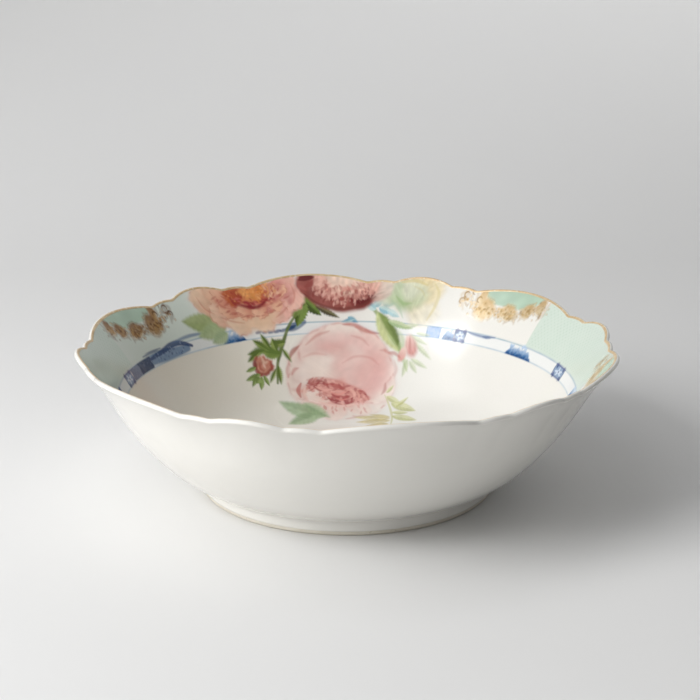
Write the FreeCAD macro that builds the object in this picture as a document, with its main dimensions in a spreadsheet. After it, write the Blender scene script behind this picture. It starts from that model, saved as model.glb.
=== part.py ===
"""A footed porcelain serving bowl with a scalloped rim and fired-on decoration.

The origin is at the centre of the foot's standing ring, +Z is up and +Y points to the bouquet.
The clay body is one shell. Glazes, gilding and printed transfers are thin coats that lie on it.
Every coat follows the same wall profile, moved out along its normal by the coat's own level.
The wall thins towards the lip.
"""
import FreeCAD
import Part
import Sketcher
import math
import os

# Driving sizes in millimetres and degrees.
SIZES = {
    "floor_radius": 50.0,
    "floor_height": 8.0,
    "heel_radius": 48.0,
    "heel_angle": 45.0,
    "wall_radius": 115.0,
    "steepest_angle": 59.0,
    "flare_radius": 112.0,
    "rim_angle": 41.0,
    "outside_flare_radius": 221.0,
    "outside_rim_angle": 50.0,
    "wall_thickness": 3.6,
    "glaze_thickness": 0.25,
    "print_thickness": 0.15,
    "foot_outer_radius": 66.8,
    "foot_inner_radius": 59.8,
    "foot_face_outer_radius": 65.2,
    "foot_face_inner_radius": 62.0,
    "foot_bevel_height": 1.4,
    "foot_top_height": 8.2,
    "exterior_start_radius": 67.6,
    "base_glaze_radius": 59.0,
    "lobe_count": 6.0,
    "lobe_turn": 10.5,
    "inner_notch_angle": 7.5,
    "outer_notch_angle": 14.5,
    "inner_notch_radius": 118.0,
    "outer_notch_radius": 117.5,
    "short_lobe_curve": 33.0,
    "knob_curve": 30.0,
    "long_lobe_curve": 65.5,
    "gilding_width": 1.4,
    "band_inner_radius": 99.9,
    "band_outer_radius": 103.4,
    "bouquet_axis": 100.0,
    "panel_half_angle": 22.0,
    "near_panel_offset": 89.0,
    "far_panel_offset": 150.0,
    "near_scroll_offset": 54.3,
    "far_scroll_offset": 120.0,
    "scroll_centre_radius": 119.5,
    "scroll_half_length": 28.5,
    "scroll_half_depth": 12.0,
    "reserve_half_length": 20.5,
    "reserve_half_depth": 7.0,
    "prism_bottom": -5.0,
    "prism_height": 95.0,
}

# Transfers of the bouquet: centre x and y, half length, half width and the turn of the length,
# as seen from above. An earlier one lies over a later one, which is trimmed around it.
TRANSFERS = {
    "main_rose": (-3.0, 81.0, 29.5, 23.0, 0.0),
    "ruffled_rose": (0.0, 115.5, 24.5, 11.0, 0.0),
    "peach_rose": (-52.5, 99.0, 27.0, 12.5, 28.0),
    "pale_rose": (36.0, 107.0, 12.5, 12.0, 0.0),
    "left_bud_spray": (-43.0, 84.0, 17.0, 11.0, 90.0),
    "right_bud_spray": (33.5, 90.0, 11.5, 6.5, 75.0),
    "long_leaf": (19.0, 101.0, 10.0, 4.0, 118.0),
    "fallen_leaf": (-76.0, 76.0, 8.0, 6.5, 45.0),
    "stem_leaf": (-25.5, 105.5, 8.0, 4.0, 100.0),
    "front_leaf_pair": (-25.0, 60.0, 12.0, 10.0, 35.0),
    "front_sprig": (19.0, 61.0, 15.0, 10.0, 20.0),
}

# Faces of the coats: the level, counted from the clay's inner face towards the inside of the
# bowl, then the radius of the flare and the angle at which it ends. The outside flares more
# gently than the inside, so that the wall thins towards the lip.
INSIDE_PRINT = "Sizes.glaze_thickness + Sizes.print_thickness"
CLAY_INSIDE = ("0", "Sizes.flare_radius", "Sizes.rim_angle")
GLAZE_INSIDE = ("Sizes.glaze_thickness", "Sizes.flare_radius + Sizes.glaze_thickness",
                "Sizes.rim_angle")
PRINT_FACE = (INSIDE_PRINT, f"Sizes.flare_radius + {INSIDE_PRINT}", "Sizes.rim_angle")
CLAY_OUTSIDE = ("-Sizes.wall_thickness", "Sizes.outside_flare_radius", "Sizes.outside_rim_angle")
GLAZE_OUTSIDE = ("-Sizes.wall_thickness - Sizes.glaze_thickness",
                 "Sizes.outside_flare_radius - Sizes.glaze_thickness", "Sizes.outside_rim_angle")

doc = FreeCAD.newDocument("serving_bowl")
sheet = doc.addObject("Spreadsheet::Sheet", "Sizes")
for row, (word, size) in enumerate(SIZES.items(), start=1):
    sheet.set(f"A{row}", word)
    sheet.set(f"B{row}", str(size))
    sheet.setAlias(f"B{row}", word)
for row, (word, place) in enumerate(TRANSFERS.items(), start=len(SIZES) + 1):
    for column, item, size in zip("BCDEF", ("x", "y", "length", "width", "turn"), place):
        sheet.set(f"A{row}", word)
        sheet.set(f"{column}{row}", str(size))
        sheet.setAlias(f"{column}{row}", f"{word}_{item}")
doc.recompute()

UP = FreeCAD.Vector(0, 0, 1)
ORIGIN_POINT = (-1, 1)
VERTICAL_AXIS = -2
parts = []


def value(expression):
    """The number that an expression of the sheet's cells gives."""
    found = sheet.evalExpression(expression)
    return getattr(found, "Value", found)


def keep(shape_object, label):
    """Marks an object as a finished sub-part and gives it the name of its file."""
    shape_object.Label = label
    parts.append(shape_object)
    return shape_object


def bind(sketch, kind, where, expression, unit="mm"):
    """Adds a dimension to a sketch, set by the sheet."""
    number = value(expression)
    if unit == "deg":
        number = math.radians(number)
    index = sketch.addConstraint(Sketcher.Constraint(kind, *where, number))
    sketch.setExpression(f"Constraints[{index}]", f"({expression}) * 1 {unit}")


def outward(angle):
    """The direction out of the wall where it climbs at this angle, in a sketch of its profile."""
    return FreeCAD.Vector(math.sin(angle), -math.cos(angle), 0)


def add_wall_curve(sketch, face):
    """Adds floor, heel, wall and flare as one tangent curve, and returns its first and last piece."""
    level, flare_size, end_angle = face
    offset = value(level)
    heel_angle = math.radians(value("Sizes.heel_angle"))
    steepest = math.radians(value("Sizes.steepest_angle"))
    rim_angle = math.radians(value(end_angle))
    floor_radius = value("Sizes.floor_radius")
    floor_height = value("Sizes.floor_height")
    heel_radius = value("Sizes.heel_radius")
    wall_radius = value("Sizes.wall_radius")
    flare_radius = value(flare_size)
    heel_centre = FreeCAD.Vector(floor_radius, floor_height + heel_radius, 0)
    wall_centre = heel_centre + outward(heel_angle) * (heel_radius - wall_radius)
    flare_centre = wall_centre + outward(steepest) * (wall_radius - offset + flare_radius)
    down = -math.pi / 2

    floor = sketch.addGeometry(Part.LineSegment(
        FreeCAD.Vector(0, floor_height + offset, 0),
        FreeCAD.Vector(floor_radius, floor_height + offset, 0)))
    heel = sketch.addGeometry(Part.ArcOfCircle(
        Part.Circle(heel_centre, UP, heel_radius - offset), down, down + heel_angle))
    wall = sketch.addGeometry(Part.ArcOfCircle(
        Part.Circle(wall_centre, UP, wall_radius - offset), down + heel_angle, down + steepest))
    flare = sketch.addGeometry(Part.ArcOfCircle(
        Part.Circle(flare_centre, UP, flare_radius), rim_angle - down, steepest - down))

    sketch.addConstraint(Sketcher.Constraint("Tangent", floor, 2, heel, 1))
    sketch.addConstraint(Sketcher.Constraint("Tangent", heel, 2, wall, 1))
    sketch.addConstraint(Sketcher.Constraint("Tangent", wall, 2, flare, 2))
    sketch.addConstraint(Sketcher.Constraint("PointOnObject", floor, 1, VERTICAL_AXIS))
    sketch.addConstraint(Sketcher.Constraint("Horizontal", floor))
    bind(sketch, "DistanceY", (*ORIGIN_POINT, floor, 1), f"Sizes.floor_height + ({level})")
    bind(sketch, "DistanceX", (floor, 1, floor, 2), "Sizes.floor_radius")
    bind(sketch, "Radius", (heel,), f"Sizes.heel_radius - ({level})")
    bind(sketch, "Radius", (wall,), f"Sizes.wall_radius - ({level})")
    bind(sketch, "Radius", (flare,), flare_size)
    bind(sketch, "Angle", (heel,), "Sizes.heel_angle", "deg")
    bind(sketch, "Angle", (wall,), "Sizes.steepest_angle - Sizes.heel_angle", "deg")
    bind(sketch, "Angle", (flare,), f"Sizes.steepest_angle - {end_angle}", "deg")
    return floor, flare


def draw_shell_profile(sketch, low, high):
    """Closes the space between two faces of the wall, from the axis to past the rim."""
    low_floor, low_flare = add_wall_curve(sketch, low)
    high_floor, high_flare = add_wall_curve(sketch, high)
    for first, second, end in ((low_floor, high_floor, 1), (low_flare, high_flare, 1)):
        line = sketch.addGeometry(Part.LineSegment(
            sketch.getPoint(first, end), sketch.getPoint(second, end)))
        sketch.addConstraint(Sketcher.Constraint("Coincident", line, 1, first, end))
        sketch.addConstraint(Sketcher.Constraint("Coincident", line, 2, second, end))


def origin_plane(body, role):
    """One of a body's own origin planes."""
    return next(item for item in body.Origin.OriginFeatures if item.Role == role)


def profile_sketch(body, name):
    """An empty sketch on the body's XZ plane: its x is the radius and its y the height."""
    sketch = body.newObject("Sketcher::SketchObject", name)
    sketch.AttachmentSupport = [(origin_plane(body, "XZ_Plane"), "")]
    sketch.MapMode = "FlatFace"
    return sketch


def revolve(body, sketch, name):
    """Turns a profile about its vertical axis."""
    turned = body.newObject("PartDesign::Revolution", name)
    turned.Profile = sketch
    turned.ReferenceAxis = (sketch, ["V_Axis"])
    turned.Angle = 360
    sketch.Visibility = False
    doc.recompute()
    return turned


def coat_shell(name, low, high):
    """A body that fills the space between two faces all over the bowl, untrimmed."""
    body = doc.addObject("PartDesign::Body", name)
    sketch = profile_sketch(body, f"{name}_profile")
    draw_shell_profile(sketch, low, high)
    revolve(body, sketch, f"{name}_revolution")
    return body


def draw_foot_profile(sketch):
    """The foot ring's section: a flat standing face between two bevels, with its top in the wall."""
    corners = [
        ("Sizes.foot_face_inner_radius", "0"),
        ("Sizes.foot_face_outer_radius", "0"),
        ("Sizes.foot_outer_radius", "Sizes.foot_bevel_height"),
        ("Sizes.foot_outer_radius", "Sizes.foot_top_height"),
        ("Sizes.foot_inner_radius", "Sizes.foot_top_height"),
        ("Sizes.foot_inner_radius", "Sizes.foot_bevel_height"),
    ]
    points = [FreeCAD.Vector(value(x), value(y), 0) for x, y in corners]
    for index, point in enumerate(points):
        sketch.addGeometry(Part.LineSegment(point, points[(index + 1) % len(points)]))
    for index, (x, y) in enumerate(corners):
        following = (index + 1) % len(corners)
        sketch.addConstraint(Sketcher.Constraint("Coincident", index, 2, following, 1))
        bind(sketch, "DistanceX", (*ORIGIN_POINT, index, 1), x)
        bind(sketch, "DistanceY", (*ORIGIN_POINT, index, 1), y)


def prism(name, outline):
    """Everything above and below a closed outline drawn in plan."""
    solid = doc.addObject("Part::Extrusion", name)
    solid.Base = outline
    solid.DirMode = "Custom"
    solid.Dir = UP
    solid.Solid = True
    solid.setExpression("LengthFwd", "Sizes.prism_height * 1 mm")
    outline.Visibility = False
    return solid


def rim_prism(name, inset):
    """A prism with the scalloped plan of the rim, drawn in by an inset that the sheet gives.

    Each lobe unit is a short lobe between two knobs, and a long lobe joins it to the next unit.
    """
    sketch = doc.addObject("Sketcher::SketchObject", f"{name}_outline")
    sketch.setExpression("Placement.Base.z", "Sizes.prism_bottom * 1 mm")
    unit_angle = 360 / value("Sizes.lobe_count")
    notches = [
        ("-Sizes.outer_notch_angle", "Sizes.outer_notch_radius", "Sizes.knob_curve"),
        ("-Sizes.inner_notch_angle", "Sizes.inner_notch_radius", "Sizes.short_lobe_curve"),
        ("Sizes.inner_notch_angle", "Sizes.inner_notch_radius", "Sizes.knob_curve"),
        ("Sizes.outer_notch_angle", "Sizes.outer_notch_radius", "Sizes.long_lobe_curve"),
    ]
    corners = []
    for unit in range(int(value("Sizes.lobe_count"))):
        for angle, radius, curve in notches:
            turn = f"(Sizes.lobe_turn + {unit * unit_angle} + ({angle})) * 1 deg"
            reach = f"({radius} - {inset})"
            corners.append((f"{reach} * cos({turn})", f"{reach} * sin({turn})", curve))
    points = [FreeCAD.Vector(value(x), value(y), 0) for x, y, _ in corners]
    for index, (x, y, curve) in enumerate(corners):
        start = points[index]
        end = points[(index + 1) % len(points)]
        chord = end - start
        radius = value(curve)
        middle = (start + end) * 0.5
        outside = FreeCAD.Vector(chord.y, -chord.x, 0).normalize()
        rise = math.sqrt(radius ** 2 - (chord.Length / 2) ** 2)
        top = middle + outside * (radius - rise)
        sketch.addGeometry(Part.Arc(start, top, end))
    for index, (x, y, curve) in enumerate(corners):
        following = (index + 1) % len(corners)
        sketch.addConstraint(Sketcher.Constraint("Coincident", index, 2, following, 1))
        bind(sketch, "DistanceX", (*ORIGIN_POINT, index, 1), x)
        bind(sketch, "DistanceY", (*ORIGIN_POINT, index, 1), y)
        bind(sketch, "Radius", (index,), curve)
    doc.recompute()
    return prism(name, sketch)


def cylinder(name, radius):
    """A prism with a round plan about the bowl's axis."""
    solid = doc.addObject("Part::Cylinder", name)
    solid.setExpression("Radius", f"{radius} * 1 mm")
    solid.setExpression("Height", "Sizes.prism_height * 1 mm")
    solid.setExpression("Placement.Base.z", "Sizes.prism_bottom * 1 mm")
    return solid


def slice_prism(name, middle, half_angle):
    """A wedge of a round prism, from half_angle before its middle direction to as much after."""
    solid = cylinder(name, "Sizes.prism_height * 2")
    solid.setExpression("Angle", f"{half_angle} * 2 deg")
    solid.setExpression("Placement.Rotation.Angle", f"({middle} - {half_angle}) * 1 deg")
    solid.Placement.Rotation.Axis = UP
    return solid


def oval_prism(name, x, y, length, width, turn):
    """A prism with an oval plan: centre, half length, half width and the turn of its length."""
    oval = doc.addObject("Part::Ellipse", f"{name}_outline")
    oval.Placement = FreeCAD.Placement(FreeCAD.Vector(), FreeCAD.Rotation(UP, 1))
    oval.setExpression("MajorRadius", f"{length} * 1 mm")
    oval.setExpression("MinorRadius", f"{width} * 1 mm")
    oval.setExpression("Placement.Base.x", f"({x}) * 1 mm")
    oval.setExpression("Placement.Base.y", f"({y}) * 1 mm")
    oval.setExpression("Placement.Base.z", "Sizes.prism_bottom * 1 mm")
    oval.setExpression("Placement.Rotation.Angle", f"({turn}) * 1 deg")
    doc.recompute()
    return prism(name, oval)


def common(name, *solids):
    """What several solids share."""
    shared = doc.addObject("Part::MultiCommon", name)
    shared.Shapes = list(solids)
    return shared


def fused(name, solids):
    """Several solids as one."""
    joined = doc.addObject("Part::MultiFuse", name)
    joined.Shapes = list(solids)
    return joined


def cut(name, solid, tool):
    """A solid without what a tool covers."""
    trimmed = doc.addObject("Part::Cut", name)
    trimmed.Base = solid
    trimmed.Tool = tool
    return trimmed


# The trimming prisms that the coats share.
whole_plan = rim_prism("whole_plan", "0")
inside_gilding = rim_prism("inside_gilding", "Sizes.gilding_width")


def make_clay_body():
    """The shell and its foot ring, turned as one and trimmed to the scalloped rim."""
    blank = doc.addObject("PartDesign::Body", "clay_blank")
    shell_profile = profile_sketch(blank, "clay_shell_profile")
    draw_shell_profile(shell_profile, CLAY_OUTSIDE, CLAY_INSIDE)
    revolve(blank, shell_profile, "clay_shell")
    foot_profile = profile_sketch(blank, "foot_profile")
    draw_foot_profile(foot_profile)
    revolve(blank, foot_profile, "foot_ring")
    keep(common("porcelain_body", blank, whole_plan), "porcelain_body")


def make_glazes():
    """The glassy coats: inside, outside above the foot, and the recess under the base."""
    inside = coat_shell("inside_coat", CLAY_INSIDE, GLAZE_INSIDE)
    keep(common("interior_glaze", inside, whole_plan), "interior_glaze")
    outside = coat_shell("outside_coat", GLAZE_OUTSIDE, CLAY_OUTSIDE)
    trimmed = common("outside_coat_trimmed", outside, whole_plan)
    foot_plug = cylinder("foot_plug", "Sizes.exterior_start_radius")
    keep(cut("exterior_glaze", trimmed, foot_plug), "exterior_glaze")
    base_plan = cylinder("base_plan", "Sizes.base_glaze_radius")
    keep(common("base_glaze", outside, base_plan), "base_glaze")


def make_bouquet_prisms():
    """One oval prism for each transfer of the bouquet, in the order in which they lie."""
    places = {}
    for word in TRANSFERS:
        cells = [f"Sizes.{word}_{item}" for item in ("x", "y", "length", "width", "turn")]
        places[word] = oval_prism(f"{word}_plan", *cells)
    return places


def make_bouquet(field, places):
    """The flower, bud and leaf transfers, each trimmed around the ones that lie over it."""
    lying = []
    for word, plan in places.items():
        piece = common(f"{word}_whole", field, plan)
        if lying:
            over = lying[0] if len(lying) == 1 else fused(f"over_{word}", lying)
            piece = cut(f"{word}_trimmed", piece, over)
        keep(piece, f"{word}_transfer")
        lying.append(plan)


def make_scrolls(field):
    """The gilt scrolls along the rim, each around its own mint reserve."""
    offsets = {
        "right": "-Sizes.near_scroll_offset",
        "left": "Sizes.near_scroll_offset",
        "front_right": "-Sizes.far_scroll_offset",
        "front_left": "Sizes.far_scroll_offset",
        "front": "180",
    }
    plans = []
    for side, offset in offsets.items():
        direction = f"(Sizes.bouquet_axis + {offset})"
        x = f"Sizes.scroll_centre_radius * cos({direction} * 1 deg)"
        y = f"Sizes.scroll_centre_radius * sin({direction} * 1 deg)"
        scroll_plan = oval_prism(
            f"scroll_plan_{side}", x, y,
            "Sizes.scroll_half_length", "Sizes.scroll_half_depth", f"{direction} + 90")
        reserve_plan = oval_prism(
            f"reserve_plan_{side}", x, y,
            "Sizes.reserve_half_length", "Sizes.reserve_half_depth", f"{direction} + 90")
        keep(common(f"mint_reserve_{side}", field, reserve_plan), f"mint_reserve_{side}")
        scroll = common(f"scroll_whole_{side}", field, scroll_plan)
        keep(cut(f"gilt_scroll_{side}", scroll, reserve_plan), f"gilt_scroll_{side}")
        plans.append(scroll_plan)
    return fused("all_scroll_plans", plans)


def make_border(field, bouquet, scroll_plans):
    """The blue band all round, and the lattice panels between it and the rim."""
    band_outside = cylinder("band_outside", "Sizes.band_outer_radius")
    band_inside = cylinder("band_inside", "Sizes.band_inner_radius")
    band_plan = cut("band_plan", band_outside, band_inside)
    band = common("band_whole", field, band_plan)
    keep(cut("blue_border_band", band, bouquet), "blue_border_band")
    covered = fused("panel_cover", [band_outside, scroll_plans, bouquet])
    offsets = {
        "right": "-Sizes.near_panel_offset",
        "left": "Sizes.near_panel_offset",
        "front_right": "-Sizes.far_panel_offset",
        "front_left": "Sizes.far_panel_offset",
    }
    for side, offset in offsets.items():
        wedge = slice_prism(
            f"panel_plan_{side}", f"(Sizes.bouquet_axis + {offset})", "Sizes.panel_half_angle")
        panel = common(f"panel_whole_{side}", field, wedge)
        keep(cut(f"lattice_panel_{side}", panel, covered), f"lattice_panel_{side}")


def make_decoration():
    """The printed and gilt coats, which share one level over the interior glaze."""
    print_coat = coat_shell("print_coat", GLAZE_INSIDE, PRINT_FACE)
    gilding = common("gilding_whole", print_coat, whole_plan)
    keep(cut("rim_gilding", gilding, inside_gilding), "rim_gilding")
    field = common("print_field", print_coat, inside_gilding)
    places = make_bouquet_prisms()
    bouquet = fused("bouquet_plan", list(places.values()))
    make_bouquet(field, places)
    scroll_plans = make_scrolls(field)
    make_border(field, bouquet, scroll_plans)


def check_and_write():
    """Stops if anything in the document failed, then writes each sub-part to its own file."""
    doc.recompute()
    for item in doc.Objects:
        if "Invalid" in item.State or "Error" in item.State:
            raise RuntimeError(f"{item.Name} is {item.State}")
    os.makedirs("parts", exist_ok=True)
    for part in parts:
        shape = part.Shape
        if shape.isNull() or not shape.isValid() or not shape.Solids:
            raise RuntimeError(f"{part.Label} has no valid solid")
        print(f"{part.Label}: {len(shape.Solids)} solid, {shape.Volume:.1f} mm3")
        shape.exportStep(f"parts/{part.Label}.step")


make_clay_body()
make_glazes()
make_decoration()
check_and_write()
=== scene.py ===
"""Looks of a scalloped porcelain serving bowl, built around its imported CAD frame.

Lengths are in millimetres up to the point where a mesh is made. The inside of the bowl is one
curved sheet, unrolled about the centre of its floor: a place on it is an azimuth in degrees
(0 at the front, 90 at the right, 180 at the back) and a reach, the distance from the centre of
the floor measured along the surface. The decoration is painted in these coordinates, stroke by
stroke, into a colour attribute of finely meshed transfers.
"""
import math
import bpy
import numpy as np
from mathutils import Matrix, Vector


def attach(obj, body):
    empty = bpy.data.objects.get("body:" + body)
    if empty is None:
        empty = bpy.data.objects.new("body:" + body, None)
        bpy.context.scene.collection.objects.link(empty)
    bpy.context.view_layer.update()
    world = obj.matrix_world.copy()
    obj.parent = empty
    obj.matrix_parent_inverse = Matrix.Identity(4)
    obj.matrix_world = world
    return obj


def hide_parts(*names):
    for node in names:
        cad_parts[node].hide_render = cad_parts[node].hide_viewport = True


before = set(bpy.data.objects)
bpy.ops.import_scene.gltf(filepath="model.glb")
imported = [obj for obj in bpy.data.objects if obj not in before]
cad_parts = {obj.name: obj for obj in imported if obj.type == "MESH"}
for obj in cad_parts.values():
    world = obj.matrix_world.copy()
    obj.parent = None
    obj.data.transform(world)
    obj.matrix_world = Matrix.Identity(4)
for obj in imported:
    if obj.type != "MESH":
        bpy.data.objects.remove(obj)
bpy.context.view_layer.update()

MM = 0.001
SEED = 20

# The wall's section, as in the CAD model: floor, heel arc, wall arc and flare arc.
FLOOR_RADIUS = 50.0
FLOOR_HEIGHT = 8.0
HEEL_RADIUS = 48.0
HEEL_ANGLE = math.radians(45)
WALL_RADIUS = 115.0
STEEPEST_ANGLE = math.radians(59)
FLARE_RADIUS = 112.0
WALL_THICKNESS = 3.6
LIP_THICKNESS = 1.6
THINNING_START = 30.0
THINNING_END = 2.0
GLAZE = 0.25

# Sheets lie on the glaze. Their edges dip under its face, and their backs lie a little deeper.
SHEET_EDGE = GLAZE - 0.015
SHEET_BACK = SHEET_EDGE - 0.03
SHEET_TAPER = 2.4
BAND_LEVEL = GLAZE + 0.018
GOLD_LINE_LEVEL = GLAZE + 0.06
GOLD_LINE_EDGE = GLAZE - 0.02
GOLD_LINE_BACK = GOLD_LINE_EDGE - 0.03
GILT_RELIEF = 0.06

# The foot ring.
FOOT_OUTER_RADIUS = 66.8
FOOT_INNER_RADIUS = 59.8
FOOT_FILLET = 3.2
FOOT_EDGE = 1.5
RECESS_FILLET = 1.2
GLAZE_LINE = 2.2
POLE_RADIUS = 1.0

# The rim's outline in plan: a short lobe between two knobs, then a long lobe, six times.
LOBE_UNITS = 6
LOBE_TURN = 100.5
INNER_NOTCH_ANGLE = 7.5
OUTER_NOTCH_ANGLE = 14.5
INNER_NOTCH_RADIUS = 118.0
OUTER_NOTCH_RADIUS = 117.5
SHORT_LOBE_CURVE = 33.0
KNOB_CURVE = 30.0
LONG_LOBE_CURVE = 65.5
NOTCH_SOFTNESS = 0.45
# The gold line: its mean width on the inside, and how far round the lip it reaches.
GILDING_WIDTH = 0.7
GILDING_END = math.radians(38)
# Between these reaches rows of points change from circles to the rim's outline.
RIM_BLEND_START = 112.0
RIM_BLEND_END = 138.0
RIM_NOMINAL = 145.0

# Where the decoration sits: azimuths and offsets from them in degrees, and reaches.
BOUQUET_AXIS = 190.0
BAND_INNER = 113.4
BAND_OUTER = 119.9
PANEL_HALF = 22.0
PANEL_OFFSETS = {"right": -89.0, "left": 89.0, "front_right": -150.0, "front_left": 150.0}
SCROLL_OFFSETS = {"right": -54.3, "left": 54.3, "front_right": -120.0, "front_left": 120.0,
                  "front": 180.0}
SCROLL_HALF = 14.6
SCROLL_LOWEST = 125.6
RESERVE_OUTWARD = 7.6
RESERVE_INWARD = 7.0
RESERVE_LOWEST = 137.2
LATTICE_PITCH = 2.9
LATTICE_REACH = 118.0


# ---------------------------------------------------------------- geometry of the bowl

def outward(angle):
    """Direction from an arc's centre to its place where the wall rises at this angle."""
    return np.array([np.sin(angle), -np.cos(angle)])


HEEL_CENTRE = np.array([FLOOR_RADIUS, FLOOR_HEIGHT + HEEL_RADIUS])
WALL_CENTRE = HEEL_CENTRE + outward(HEEL_ANGLE) * (HEEL_RADIUS - WALL_RADIUS)
FLARE_CENTRE = WALL_CENTRE + outward(STEEPEST_ANGLE) * (WALL_RADIUS + FLARE_RADIUS)
HEEL_START = FLOOR_RADIUS
WALL_START = HEEL_START + HEEL_RADIUS * HEEL_ANGLE
FLARE_START = WALL_START + WALL_RADIUS * (STEEPEST_ANGLE - HEEL_ANGLE)


def section(reach, level=0.0):
    """Radius and height of a place on the wall, lifted by level along its inward normal."""
    reach = np.asarray(reach, float)
    zones = [reach < HEEL_START, reach < WALL_START, reach < FLARE_START]
    slope = np.select(zones, [
        0 * reach,
        (reach - HEEL_START) / HEEL_RADIUS,
        HEEL_ANGLE + (reach - WALL_START) / WALL_RADIUS],
        STEEPEST_ANGLE - (reach - FLARE_START) / FLARE_RADIUS)
    radius = np.select(zones, [
        reach,
        HEEL_CENTRE[0] + HEEL_RADIUS * np.sin(slope),
        WALL_CENTRE[0] + WALL_RADIUS * np.sin(slope)],
        FLARE_CENTRE[0] - FLARE_RADIUS * np.sin(slope))
    height = np.select(zones, [
        0 * reach + FLOOR_HEIGHT,
        HEEL_CENTRE[1] - HEEL_RADIUS * np.cos(slope),
        WALL_CENTRE[1] - WALL_RADIUS * np.cos(slope)],
        FLARE_CENTRE[1] + FLARE_RADIUS * np.cos(slope))
    return radius - level * np.sin(slope), height + level * np.cos(slope)


def reach_at(radius):
    """The reach of a place on the wall at this radius in plan."""
    table = np.linspace(0, 165, 3301)
    return np.interp(radius, section(table)[0], table)


def rim_radius(azimuth):
    """Plan radius of the scalloped outline, as arcs between notches, slightly softened."""
    notches = [(-OUTER_NOTCH_ANGLE, OUTER_NOTCH_RADIUS), (-INNER_NOTCH_ANGLE, INNER_NOTCH_RADIUS),
               (INNER_NOTCH_ANGLE, INNER_NOTCH_RADIUS), (OUTER_NOTCH_ANGLE, OUTER_NOTCH_RADIUS),
               (360 / LOBE_UNITS - OUTER_NOTCH_ANGLE, OUTER_NOTCH_RADIUS)]
    curves = [KNOB_CURVE, SHORT_LOBE_CURVE, KNOB_CURVE, LONG_LOBE_CURVE]
    step = 0.05
    fine = np.arange(0, 360, step)
    unit = 360 / LOBE_UNITS
    local = (fine - LOBE_TURN + OUTER_NOTCH_ANGLE) % unit - OUTER_NOTCH_ANGLE
    radius = np.zeros_like(fine)
    ray = np.stack([np.cos(np.radians(local)), np.sin(np.radians(local))], 1)
    for (first, r_first), (last, r_last), curve in zip(notches, notches[1:], curves):
        ends = [r * np.array([math.cos(math.radians(a)), math.sin(math.radians(a))])
                for a, r in ((first, r_first), (last, r_last))]
        chord = ends[1] - ends[0]
        length = np.hypot(*chord)
        inward = np.array([-chord[1], chord[0]]) / length
        centre = (ends[0] + ends[1]) / 2 + inward * math.sqrt(curve ** 2 - (length / 2) ** 2)
        along = ray @ centre
        hit = along + np.sqrt(np.maximum(curve ** 2 - (centre @ centre - along ** 2), 0))
        inside = (local >= first) & (local <= last)
        radius[inside] = hit[inside]
    width = int(3 * NOTCH_SOFTNESS / step)
    kernel = np.exp(-0.5 * (np.arange(-width, width + 1) * step / NOTCH_SOFTNESS) ** 2)
    padded = np.concatenate([radius[-width:], radius, radius[:width]])
    soft = np.convolve(padded, kernel / kernel.sum(), "valid")
    return np.interp(np.asarray(azimuth, float) % 360, np.append(fine, 360), np.append(soft, soft[0]))


def smooth(low, high, x):
    """0 below low and 1 above high, with a smooth step between. low may be the larger one."""
    t = np.clip((x - low) / (high - low), 0, 1)
    return t * t * (3 - 2 * t)


RIM_TABLE_ANGLES = np.linspace(0, 360, 3601)
RIM_TABLE = reach_at(rim_radius(RIM_TABLE_ANGLES))


def rim_reach(azimuth):
    """The reach at which the inside ends, all round the scalloped rim."""
    return np.interp(np.asarray(azimuth, float) % 360, RIM_TABLE_ANGLES, RIM_TABLE)


def follow_rim(azimuth, nominal):
    """Stretches a nominal reach so that rows near the rim follow its lobes."""
    share = smooth(RIM_BLEND_START, RIM_BLEND_END, nominal)
    return nominal + share * (rim_reach(azimuth) - RIM_NOMINAL)


def in_space(azimuth, radius, height):
    """Points x, y, z at these azimuths about the bowl's axis."""
    turn = np.radians(azimuth)
    return np.stack([radius * np.sin(turn), -radius * np.cos(turn), height + 0 * turn], -1)


def on_inside(azimuth, reach, level):
    """Points x, y, z on the clay's inside, lifted by level along its normal."""
    radius, height = section(reach, level)
    return in_space(azimuth, radius, height)


# ---------------------------------------------------------------- mesh building

def mesh_object(name, points, quads, triangles=None, flat=None):
    """A mesh of quads, and triangles if there are any. Quads are smooth unless flat marks them."""
    mesh = bpy.data.meshes.new(name)
    mesh.vertices.add(len(points))
    mesh.vertices.foreach_set("co", (np.asarray(points) * MM).astype(np.float32).ravel())
    corners = np.asarray(quads, np.int32).ravel()
    sides = np.full(len(quads), 4, np.int32)
    smooth_faces = np.ones(len(quads), bool)
    if flat is not None:
        smooth_faces[flat] = False
    if triangles is not None:
        corners = np.concatenate([corners, np.asarray(triangles, np.int32).ravel()])
        sides = np.concatenate([sides, np.full(len(triangles), 3, np.int32)])
        smooth_faces = np.concatenate([smooth_faces, np.ones(len(triangles), bool)])
    mesh.loops.add(len(corners))
    mesh.loops.foreach_set("vertex_index", corners)
    mesh.polygons.add(len(sides))
    starts = np.cumsum(sides) - sides
    mesh.polygons.foreach_set("loop_start", starts.astype(np.int32))
    mesh.polygons.foreach_set("loop_total", sides)
    mesh.polygons.foreach_set("use_smooth", smooth_faces)
    mesh.update(calc_edges=True)
    mesh.validate()
    made = bpy.data.objects.new(name, mesh)
    bpy.context.scene.collection.objects.link(made)
    return made


def grid_faces(rows, columns, wrap):
    """Quads of a grid numbered row by row. wrap joins the last column to the first."""
    last = columns if wrap else columns - 1
    row, column = np.meshgrid(np.arange(rows - 1), np.arange(last), indexing="ij")
    after = (column + 1) % columns
    quads = np.stack([row * columns + column, row * columns + after,
                      (row + 1) * columns + after, (row + 1) * columns + column], -1)
    return quads.reshape(-1, 4)


def strips(rows, columns):
    """The faces of whole rows of a grid that runs right round."""
    return np.concatenate([np.arange(row * columns, (row + 1) * columns) for row in rows])


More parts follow.
